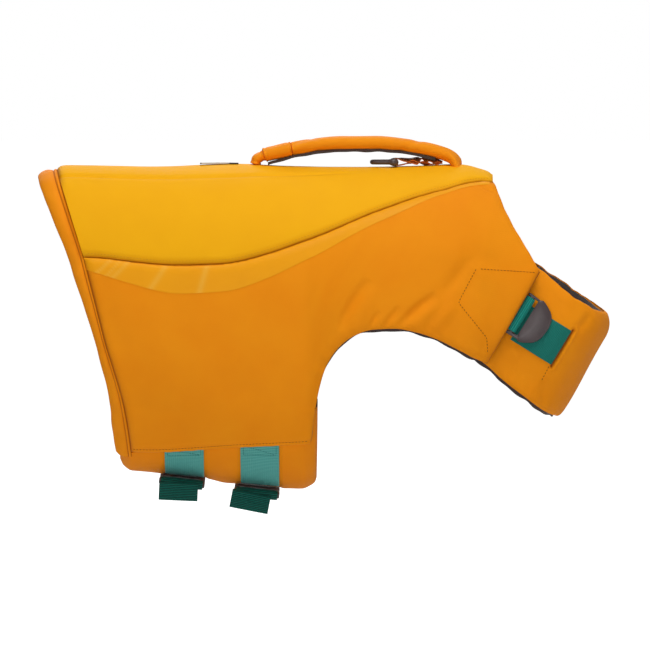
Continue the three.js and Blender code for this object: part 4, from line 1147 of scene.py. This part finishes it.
NECK_RIM = 9
neck_runs = np.linspace(RUN_START, NECK_END, 330)[:, None]
edge_steps = NECK_RIM * np.linspace(0, 1, 10)[None, :] ** 1.4
top_w, low_w = neck_top(neck_runs), neck_low(neck_runs)
neck_w = np.concatenate([
    top_w + edge_steps,
    mix(top_w + NECK_RIM, low_w - NECK_RIM, np.linspace(0, 1, 66)[None, 1:-1]),
    low_w - edge_steps[:, ::-1],
], 1)
band = shell("neck_cloth", neck_point(neck_runs, neck_w, neck_depth(neck_runs, neck_w)),
             neck_point(neck_runs, neck_w, neck_inner(neck_runs, neck_w)), ORANGE,
             {"seam": slit_painted_shadow(neck_runs, neck_w)})
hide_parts("neck_band")

lining_runs = np.linspace(RUN_START, NECK_END, 150)[:, None]
frill = 0.9 * np.sin(lining_runs / 4.7) * np.sin(lining_runs / 17 + 1) + 0.7
lining_share = np.linspace(0, 1, 40)[None, :]
shows = curve_of([-2, 60, 110, 160, 205, 272], [-0.5, -0.8, -2.5, -2.5, -1.2, -1])(lining_runs)
lining_w = mix(neck_top(lining_runs) - shows, neck_low(lining_runs) + LINING_SHOWS + frill, lining_share)
neck_under = neck_inner(lining_runs, lining_w)
neck_lining = shell("neck_lining", neck_point(lining_runs, lining_w, neck_under + LINING_GAP),
                    neck_point(lining_runs, lining_w, neck_under + LINING_GAP + LINING_THICK), LINING)
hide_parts("lining_neck")
cut(neck_lining, neck_point(lining_runs, lining_w, neck_under), "stretched", "neck_cloth")

STRAP_TOP, STRAP_LOW = 38.8, 78.2
strap_runs = np.linspace(19.3, 66, 150)
strap_w = np.linspace(STRAP_TOP, STRAP_LOW, 40)
run_grid, w_grid = np.meshgrid(strap_runs, strap_w, indexing="ij")
strap_rib = 0.1 * np.cos(TURN * run_grid / 1.5)
strap_edge = 0.5 * np.exp(-np.minimum(w_grid - STRAP_TOP, STRAP_LOW - w_grid) / 0.5)
dive = 2.4 * np.clip((run_grid - 62.5) / 3.5, 0, 1) ** 2
for side, flip in (("near", 1), ("far", -1)):
    base = neck_depth(run_grid if flip > 0 else mirrored(run_grid), w_grid)
    base = np.minimum(base, 1.2) + dive
    outer = neck_point(run_grid, w_grid, base - SEAM_GAP - WEBBING - strap_rib + strap_edge)
    inner = neck_point(run_grid, w_grid, base - SEAM_GAP)
    place_on = np.array if flip > 0 else to_far
    webbing = shell("neck_webbing_" + side, place_on(outer), place_on(inner), FLAT_GREEN)
    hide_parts("neck_strap_" + side)
    cut(webbing, inner, "stretched", "neck_cloth")

LADDER = [
    (10.4, 28.2), (24.5, 29.4), (36, 32.4), (43, 38.5), (45.6, 47.5), (45, 58), (42.6, 65.5), (37, 71.3),
    (25, 74.8), (10.4, 74.9), (10.4, 71.6), (13.6, 71.6), (13.6, 31), (10.4, 31),
]
WINDOW = (16.6, 22.8, 31.4, 71.2)
BUCKLE_WALL = 3.6
BUCKLE_LIFT = SEAM_GAP * 3 + WEBBING + 0.6
LADDER_LOOP = [
    (3, -1.2), (16.6, -1.2), (18.6, -0.2), (18.9, BUCKLE_WALL + 0.5), (17.4, BUCKLE_WALL + 1.7),
    (13.4, BUCKLE_WALL + 1.9), (11, BUCKLE_WALL + 0.9), (9.4, 1.6), (3, 0.9),
]
high = neck_point(0, WINDOW[2], -BUCKLE_LIFT)
low = neck_point(0, WINDOW[3], -BUCKLE_LIFT)
ladder_across = (low - high) / np.linalg.norm(low - high)
ladder_out = np.cross(FORWARD, ladder_across)
ladder_out *= -np.sign(ladder_out[1])
ladder_from = high - ladder_across * WINDOW[2]


def smooth_outline(points, steps=5):
    """A closed curve through the points."""
    count = len(points)
    points = np.array(points, float)
    out = []
    for i in range(count):
        p0, p1, p2, p3 = (points[(i + k - 1) % count] for k in range(4))
        for t in np.arange(steps) / steps:
            out.append(tuple(0.5 * (2 * p1 + (p2 - p0) * t + (2 * p0 - 5 * p1 + 4 * p2 - p3) * t * t
                                    + (3 * p1 - p0 - 3 * p2 + p3) * t ** 3)))
    return out


def dome(round_steps=40, steps=26, rise=3.4, corner_steps=6):
    """The glossy body of the adjuster: from a straight edge at the window out to the round end."""
    face = LADDER[1:9]
    curve = np.array(smooth_outline(face + [(24.5, 52)], corner_steps)[:corner_steps * (len(face) - 1)])
    length = run_along(curve)
    even = np.linspace(0, length[-1], round_steps)
    edge = np.stack([np.interp(even, length, curve[:, k]) for k in range(2)], -1)
    a = np.linspace(0, 1, round_steps)
    start = np.stack([np.full(round_steps, WINDOW[1] + 0.2), mix(29.6, 74.4, a)], -1)
    b = np.linspace(0, 1, steps)
    flat = start[:, None, :] + (edge - start)[:, None, :] * b[None, :, None]
    side_fall = np.clip(1 - np.abs(2 * a - 1) ** 3.2, 0, 1)[:, None] ** 0.55
    end_fall = np.clip(1 - b ** 3.4, 0, 1)[None, :] ** 0.6
    front = 0.62 + 0.38 * np.sin(np.clip(b * 2.2, 0, 1) * math.pi / 2)[None, :]
    top = BUCKLE_WALL - 1.4 + rise * side_fall * end_fall * front
    points = np.concatenate([flat, top[..., None]], -1)
    index = np.arange(round_steps * steps).reshape(round_steps, steps)
    low = index + index.size
    under = np.concatenate([flat, np.full(top.shape + (1,), 0.8)], -1)
    rim, deep = rim_of(index), rim_of(low)
    sides = np.stack([rim[1:], rim[:-1], deep[:-1], deep[1:]], -1)
    faces = quads(index).tolist() + quads(low)[:, ::-1].tolist() + sides.tolist()
    return np.concatenate([points.reshape(-1, 3), under.reshape(-1, 3)]), faces


for side, flip in (("near", 1), ("far", -1)):
    def to_neck(points):
        u, w, out = points[..., 0:1], points[..., 1:2], points[..., 2:3]
        spot = ladder_from + FORWARD * u + ladder_across * w + ladder_out * out
        return spot * np.array([1, flip, 1])

    hole = rounded(box_of(WINDOW[0], WINDOW[2], WINDOW[1], WINDOW[3]), 1.2)
    adjuster = plate("neck_adjuster_" + side, rounded(LADDER, 3.0), [hole], 0, BUCKLE_WALL, 0.9, PLASTIC, to_neck,
                     join=[dome()])
    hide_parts("neck_buckle_" + side)
    path = to_neck(np.array([(u, (WINDOW[2] + WINDOW[3]) / 2, out) for u, out in LADDER_LOOP], float))
    across = ladder_across * np.array([1, flip, 1])
    loop = ribbon("neck_bar_webbing_" + side, path, across, WINDOW[3] - WINDOW[2] - 1.2, WEBBING, GREEN,
                  "folded", "neck_adjuster_" + side)
    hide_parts("neck_loop_" + side)


# ---------- handle

HANDLE = table("x z share", [
    (-45, 17.5, 1), (-44, 22, 1), (-36, 26.6, 1), (-22, 30, 1), (-9, 32.8, 1), (15, 36.6, 1), (45, 38.8, 1),
    (75, 39, 1), (105, 36.6, 1), (130, 31.8, 1), (146, 27, 0.95), (154, 23, 0.8), (157.3, 20, 0.65),
    (157.5, 17.4, 0.6),
])
arch = {name: curve_of(np.arange(len(HANDLE["x"])), column) for name, column in HANDLE.items()}


def arch_rings(first, last, half_width, half_height, slide, press, steps, around=64):
    """Rounded sections along the handle. press gives how far each point lies in from the plain section."""
    row = np.linspace(first, last, 400)
    x, z = arch["x"](row), arch["z"](row)
    run = run_along(np.stack([x, z], -1))
    even = np.linspace(0, run[-1], steps)
    row = np.interp(even, run, row)
    x, z, share = arch["x"](row), arch["z"](row), arch["share"](row)
    dx, dz = np.gradient(x), np.gradient(z)
    length = np.hypot(dx, dz)
    up = np.stack([-dz / length, 0 * dx, dx / length], -1)
    turn = np.linspace(0, TURN, around, endpoint=False)
    closing = np.clip(np.minimum(even, even[-1] - even) / 0.9, 0.3, 1) ** 0.3
    less = press(even[:, None], turn[None, :], even[-1])
    wide = (half_width - less) * closing[:, None] * power(np.cos(turn), 0.8)
    high = (half_height * share[:, None] - less) * closing[:, None] * power(np.sin(turn), 0.8)
    flare = (np.clip((x - 146) / 11, 0, 1) ** 2)[:, None]
    wide = wide * (1 + 0.42 * flare)
    droop = 0.8 + flare * 5.5 * (np.abs(wide) / 17) ** 2
    rings = np.stack([x[:, None] + slide + 0 * wide, wide, z[:, None] - droop], -1)
    return rings + up[:, None, :] * high[..., None]


def grip_press(run, turn, length):
    ends = np.minimum(run, length - run)
    gathers = 0.7 * np.exp(-ends / 16) * np.sin(turn * 5 + run / 6 + 1)
    rolls = 0.35 * np.sin(run / 12 + 1.4 * np.sin(turn)) * np.sin(run / 37 + 1)
    slant = 0.9 * np.exp(-((run - 118 - 9 * np.sin(turn)) / 5) ** 2)
    slant = slant + 0.7 * np.exp(-((run - 22 + 7 * np.cos(turn)) / 4) ** 2)
    side_seam = 0.8 * np.exp(-((turn - 1.5 * math.pi) / 0.25) ** 2)
    return gathers + rolls + slant + side_seam


def short_press(run, turn, length):
    ends = np.minimum(run, length - run)
    gathers = 0.5 * np.exp(-ends / 3) * np.sin(turn * 7 + 2)
    return gathers + 0.5 * np.exp(-(ends - 3.2) ** 2 / 1.4) + 0.2 * np.sin(run / 5)


# Rows of the arch, half width and height, slide, press, rings and fill
HANDLE_PARTS = {
    "grip": ((4, 13, 17, 7, SEAM_GAP, grip_press, 160), 0.7),
    "sleeve": ((1.95, 4.06, 17.8, 7.3, 0, short_press, 50), 0.6),
    "root": ((0, 2.03, 14.6, 5.4, 0, short_press, 40), 0.5),
}
for name, (sizes, fill) in HANDLE_PARTS.items():
    part = tube("handle_" + name + "_cloth", arch_rings(*sizes), ORANGE)
    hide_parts("handle_" + name)

UNDER_HALF, UNDER_DROP, UNDER_THICK = 13, 8.2, 2.6
under_rows = np.linspace(2.3, 9.3, 180)
under_x = arch["x"](under_rows)
under_wave = 0.7 * np.sin(under_x / 6.1) * np.sin(under_x / 17 + 1) + 0.35 * np.sin(under_x / 3.3)
rear_sag = 1.5 * np.clip((4.8 - under_rows) / 1.6, 0, 1.6)
under_z = arch["z"](under_rows) - UNDER_DROP - rear_sag + 0.35 * under_wave
under_y = np.linspace(-UNDER_HALF, UNDER_HALF, 18)
sag = (0.9 * under_wave[:, None] + 0.6) * np.abs(under_y / UNDER_HALF) ** 3
under_outer = np.stack(np.broadcast_arrays(under_x[:, None], under_y[None, :], under_z[:, None] - 0.8 - sag), -1)
under_inner = under_outer + [0, 0, UNDER_THICK]
handle_lining = shell("handle_dark_lining", under_outer, under_inner, LINING)
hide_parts("handle_lining")
cut(handle_lining, under_outer, "stretched", "handle_grip_cloth")


# ---------- leash ring, its webbing and the tape behind the handle

RING = {"bar": 95.5, "tip": 72.5, "half": 16.5, "z": 19, "corner": 5}
WIRE, KNUCKLE = 2.4, 4.0


def bend(before, corner, after, steps=12):
    t = np.linspace(0, 1, steps)[:, None]
    return before * (1 - t) ** 2 + 2 * corner * t * (1 - t) + after * t * t


ring_corners = np.array([
    (RING["bar"], -RING["half"]), (RING["bar"], RING["half"]),
    (RING["tip"], RING["half"] * 0.62), (RING["tip"], -RING["half"] * 0.62),
])
ring_line = []
for i, corner in enumerate(ring_corners):
    ways = [other - corner for other in (ring_corners[i - 1], ring_corners[(i + 1) % 4])]
    before, after = (corner + way / np.linalg.norm(way) * RING["corner"] for way in ways)
    ring_line.append(bend(before, corner, after))
    next_corner = ring_corners[(i + 1) % 4]
    stop = next_corner + (corner - next_corner) / np.linalg.norm(corner - next_corner) * RING["corner"]
    ring_line.append(mix(after, stop, np.linspace(0, 1, 14)[1:-1, None]))
ring_line = np.concatenate(ring_line)
ring_way = np.roll(ring_line, -1, 0) - np.roll(ring_line, 1, 0)
ring_way /= np.linalg.norm(ring_way, axis=-1, keepdims=True)
ring_out = np.stack([ring_way[:, 1], -ring_way[:, 0], 0 * ring_way[:, 0]], -1)
to_bar_end = np.min(np.linalg.norm(ring_line[:, None, :] - ring_corners[None, :2], axis=-1), axis=1)
ring_radius = WIRE + (KNUCKLE - WIRE) * np.exp(-(to_bar_end / 4.6) ** 4)
around = np.linspace(0, TURN, 28, endpoint=False)
ring_middle = np.concatenate([ring_line, np.full((len(ring_line), 1), RING["z"])], 1)
ring_rings = (ring_middle[:, None, :]
              + ring_out[:, None, :] * (ring_radius[:, None] * np.cos(around))[..., None]
              + np.array([0, 0, 1]) * (ring_radius[:, None] * np.sin(around))[..., None])
ring = tube("leash_ring_moulding", ring_rings, RING_PLASTIC, closed=True, body=RING_BODY)
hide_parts("leash_ring")

WRAP = WIRE + SEAM_GAP + 0.95
wrap_line = [
    (RING["bar"] - x * WRAP, RING["z"] + z * WRAP)
    for x, z in [(0, 1), (0.74, 0.74), (1.04, 0), (0.74, -0.74), (0, -1)]
]
LEASH_LINE = [
    (143, 19.4), (137, 20.6), (130, 22.6), (124, 22.8), (117, 21.5), (110, 21.3), (103, 22.1), *wrap_line,
    (101, 16), (108, 17.6), (115, 19), (120, 18.4), (125, 16.9), (131, 16.5), (137, 17.2), (143, 17.8),
]


def crumple(even, shares):
    """The near edge of the upper layer sags and that of the lower one lifts, unevenly."""
    share = even / even[-1]
    upper = np.clip((0.42 - share) / 0.1, 0, 1)
    lower = np.clip((share - 0.62) / 0.1, 0, 1)
    ends = np.clip(np.minimum(share, 1 - share) / 0.06, 0, 1)
    beat = 0.75 + 0.25 * np.sin(share * 31 + 1) - 0.9 * np.exp(-((share - 0.2) / 0.025) ** 2)
    drop = (-5.4 * upper * beat + 3 * lower * (0.6 + 0.4 * np.sin(share * 47))) * ends
    near = np.clip(-2 * shares, -1, 1)
    lift = drop[:, None] * np.where(near > 0, near ** 1.5, -0.4 * near ** 2)[None, :]
    return np.stack([0 * lift, 0 * lift, lift], -1)


leash_path = np.array([(x, 0, z) for x, z in LEASH_LINE], float)
leash = ribbon("leash_webbing", leash_path, np.array([0, 1.0, 0]), 21, 1.3, BROWN,
               "folded", "leash_ring_moulding", pitch=1.6, relief=0.12, width_steps=17, edge=crumple)
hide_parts("leash_loop")

TAPE = {"from": -100.5, "to": -62, "half": 9}
tape_x = np.linspace(TAPE["from"], TAPE["to"], 90)
tape_y = np.linspace(-TAPE["half"], TAPE["half"], 24)
tape_lift = crown_at(-80) + SEAM_GAP + 0.35 * (1 + np.sin(tape_x[:, None] / 7 + tape_y / 9)) * 0.6
tape_top = np.stack(np.broadcast_arrays(tape_x[:, None], tape_y[None, :], tape_lift + 1.2), -1)
tape_low = np.stack(np.broadcast_arrays(tape_x[:, None], tape_y[None, :], tape_lift), -1)
tape_tip = np.clip((tape_x + 72) / 1.5, 0, 1) + np.clip((-98.5 - tape_x) / 1, 0, 1)
tape = shell("back_tape", tape_top, tape_low, PALE, {"tip": np.tile(tape_tip[:, None], (1, 24))})
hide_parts("top_tape")
cut(tape, tape_top, "laid", "back_cloth")


# ---------- stitching

def stitches(name, lines, finish, pitch=3.3, length=2.3, radius=0.42):
    """Runs of short threads along lines of points on the cloth."""
    sides, swells = 6, (0.15, 0.75, 1.0, 0.75, 0.15)
    turn = np.linspace(0, TURN, sides, endpoint=False)
    all_points, all_faces = [], []
    for line in lines:
        line = np.asarray(line, float)
        run = run_along(line)
        for start in np.arange(0.4, run[-1] - length, pitch):
            ends = np.array([[np.interp(start + s, run, line[:, k]) for k in range(3)] for s in (0, length)])
            way = (ends[1] - ends[0]) / np.linalg.norm(ends[1] - ends[0])
            side = np.cross(way, [0, 0.3, 1.0])
            side /= np.linalg.norm(side)
            other = np.cross(way, side)
            base = len(all_points)
            for s, thick in zip(np.linspace(0, 1, len(swells)), swells):
                middle = mix(ends[0], ends[1], s)
                for a in turn:
                    all_points.append(middle + radius * thick * (side * math.cos(a) + other * math.sin(a)))
            for ring_no in range(len(swells) - 1):
                for k in range(sides):
                    a, b = base + ring_no * sides + k, base + ring_no * sides + (k + 1) % sides
                    all_faces.append((a, b, b + sides, a + sides))
            all_faces.append(tuple(base + k for k in range(sides))[::-1])
            all_faces.append(tuple(base + (len(swells) - 1) * sides + k for k in range(sides)))
    return finish_plate(name, np.array(all_points), all_faces, finish)


def on_side(points, side, lift=0.1):
    """Points of the side view laid on the side panel."""
    t = np.linspace(0, len(points) - 1, 12 * (len(points) - 1) + 1)
    x = np.interp(t, range(len(points)), [p[0] for p in points])
    z = np.interp(t, range(len(points)), [p[1] for p in points])
    line = skin_point(x, angle_of(x, z), side_depth(x, z, side) - lift)
    return line if side == "near" else to_far(line)


hem_stitch = [(x, z + 4.2) for x, z in HEM_LINE if x > -168]
chevron = [(175.6, -85.6), (157.8, -118.8), (186, -154.4), (187, -169)]
flap_stitch = [(179.6, -85.6), (235, -89.6)]
for side in ("near", "far"):
    lines = [on_side(hem_stitch, side), on_side(chevron, side), on_side(flap_stitch, side)]
    stitches("side_stitching_" + side, lines, DEEP_THREAD)
    flip = np.array([1, 1 if side == "near" else -1, 1])
    half = back_outer_grid.shape[1] // 2 + 1
    seam_line = np.array([
        [np.interp(3.6, back_from_seam[r, :half], back_outer_grid[r, :half, k]) for k in range(3)]
        for r in range(2, back_outer_grid.shape[0] - 2)
    ])
    stitches("back_stitching_" + side, [seam_line * flip], GOLD_THREAD, radius=0.3)
    run = np.linspace(63.9, 65.4, 12)
    w = np.linspace(80.4, 97, 12)
    stitches("neck_stitching_" + side, [neck_point(run, w, neck_depth(run, w) - 0.1) * flip], DEEP_THREAD)

for strap in STRAPS:
    low_x, high_x = strap["from"] + 3, strap["to"] - 3
    box = np.array([(low_x, 0.035), (high_x, 0.035), (high_x, 0.15), (low_x, 0.15), (low_x, 0.035), (high_x, 0.15)])
    t = np.linspace(0, 5, 61)
    x, share = np.interp(t, range(6), box[:, 0]), np.interp(t, range(6), box[:, 1])
    lift = SEAM_GAP + WEBBING + 0.05
    line = skin_point(x, belly_angle(x, share), belly_depth(x, share) - lift)
    stitches("strap_stitching_" + strap["name"], [line, to_far(line)], GREEN_THREAD,
             pitch=2.6, length=1.9, radius=0.35)


# ---------- camera, light and floor

MIDDLE = Vector((0.02, 0, -0.15))


def soft_light(name, spot, size, watts):
    """A square lamp that points at the middle of the jacket."""
    data = bpy.data.lights.new(name, "AREA")
    data.shape, data.size, data.energy = "SQUARE", size, watts
    lamp = bpy.data.objects.new(name, data)
    bpy.context.scene.collection.objects.link(lamp)
    lamp.location = spot
    lamp.rotation_euler = (MIDDLE - Vector(spot)).to_track_quat("-Z", "Y").to_euler()


soft_light("key", (0.4, -1.3, 3.3), 2.0, 86)
soft_light("fill", (-0.2, -4.0, -0.8), 2.8, 90)
soft_light("back", (-0.8, 3.2, 2.2), 2.4, 50)


def join_nodes(owner, *joins):
    """Each join is a node, its output, the node that it feeds and the input."""
    for source, out, target, feed in joins:
        owner.node_tree.links.new(source.outputs[out], target.inputs[feed])


SEEN_WHITE, UNSEEN_WHITE = 1.0, 0.24

world = bpy.data.worlds.new("studio")
world.use_nodes = True
bpy.context.scene.world = world
nodes = world.node_tree.nodes
seen, unseen = nodes["Background"], nodes.new("ShaderNodeBackground")
for light, strength in ((seen, SEEN_WHITE), (unseen, UNSEEN_WHITE)):
    light.inputs["Color"].default_value = (1, 1, 1, 1)
    light.inputs["Strength"].default_value = strength
path, both = nodes.new("ShaderNodeLightPath"), nodes.new("ShaderNodeMixShader")
join_nodes(world, (path, "Is Camera Ray", both, "Fac"), (unseen, 0, both, 1), (seen, 0, both, 2),
           (both, 0, nodes["World Output"], "Surface"))
bpy.context.scene.view_settings.view_transform = "Standard"

FLOOR_Z, FLOOR_SIZE = -0.5, 60
bpy.ops.mesh.primitive_plane_add(size=FLOOR_SIZE, location=(0, 0, FLOOR_Z))
floor = bpy.context.object
floor.name = "floor"
paper = bpy.data.materials.new("pale paper")
paper.use_nodes = True
nodes = paper.node_tree.nodes
matt = nodes["Principled BSDF"]
matt.inputs["Base Color"].default_value = (0.7, 0.7, 0.7, 1)
matt.inputs["Roughness"].default_value = 0.9
bright, clear = nodes.new("ShaderNodeEmission"), nodes.new("ShaderNodeBsdfTransparent")
bright.inputs["Strength"].default_value = 0.86
ray, face = nodes.new("ShaderNodeLightPath"), nodes.new("ShaderNodeNewGeometry")
lit = nodes.new("ShaderNodeAddShader")
seen_lit, pick_side = nodes.new("ShaderNodeMixShader"), nodes.new("ShaderNodeMixShader")
join_nodes(paper, (matt, 0, lit, 0), (bright, 0, lit, 1),
           (ray, "Is Camera Ray", seen_lit, "Fac"), (matt, 0, seen_lit, 1), (lit, 0, seen_lit, 2),
           (face, "Backfacing", pick_side, "Fac"), (seen_lit, 0, pick_side, 1), (clear, 0, pick_side, 2),
           (pick_side, 0, nodes["Material Output"], "Surface"))
floor.data.materials.append(paper)

DISTANCE, ELEVATION, FRAME_WIDTH = 9.0, math.radians(2.2), 0.65
AIM = Vector((0.025, -0.05, -0.143))
camera_data = bpy.data.cameras.new("camera")
camera_data.lens = 36 * DISTANCE / FRAME_WIDTH
camera_data.clip_end = FLOOR_SIZE
camera = bpy.data.objects.new("camera", camera_data)
bpy.context.scene.collection.objects.link(camera)
back_off = Vector((0, -math.cos(ELEVATION), math.sin(ELEVATION)))
camera.location = AIM + back_off * DISTANCE
camera.rotation_euler = (-back_off).to_track_quat("-Z", "Y").to_euler()
bpy.context.scene.camera = camera
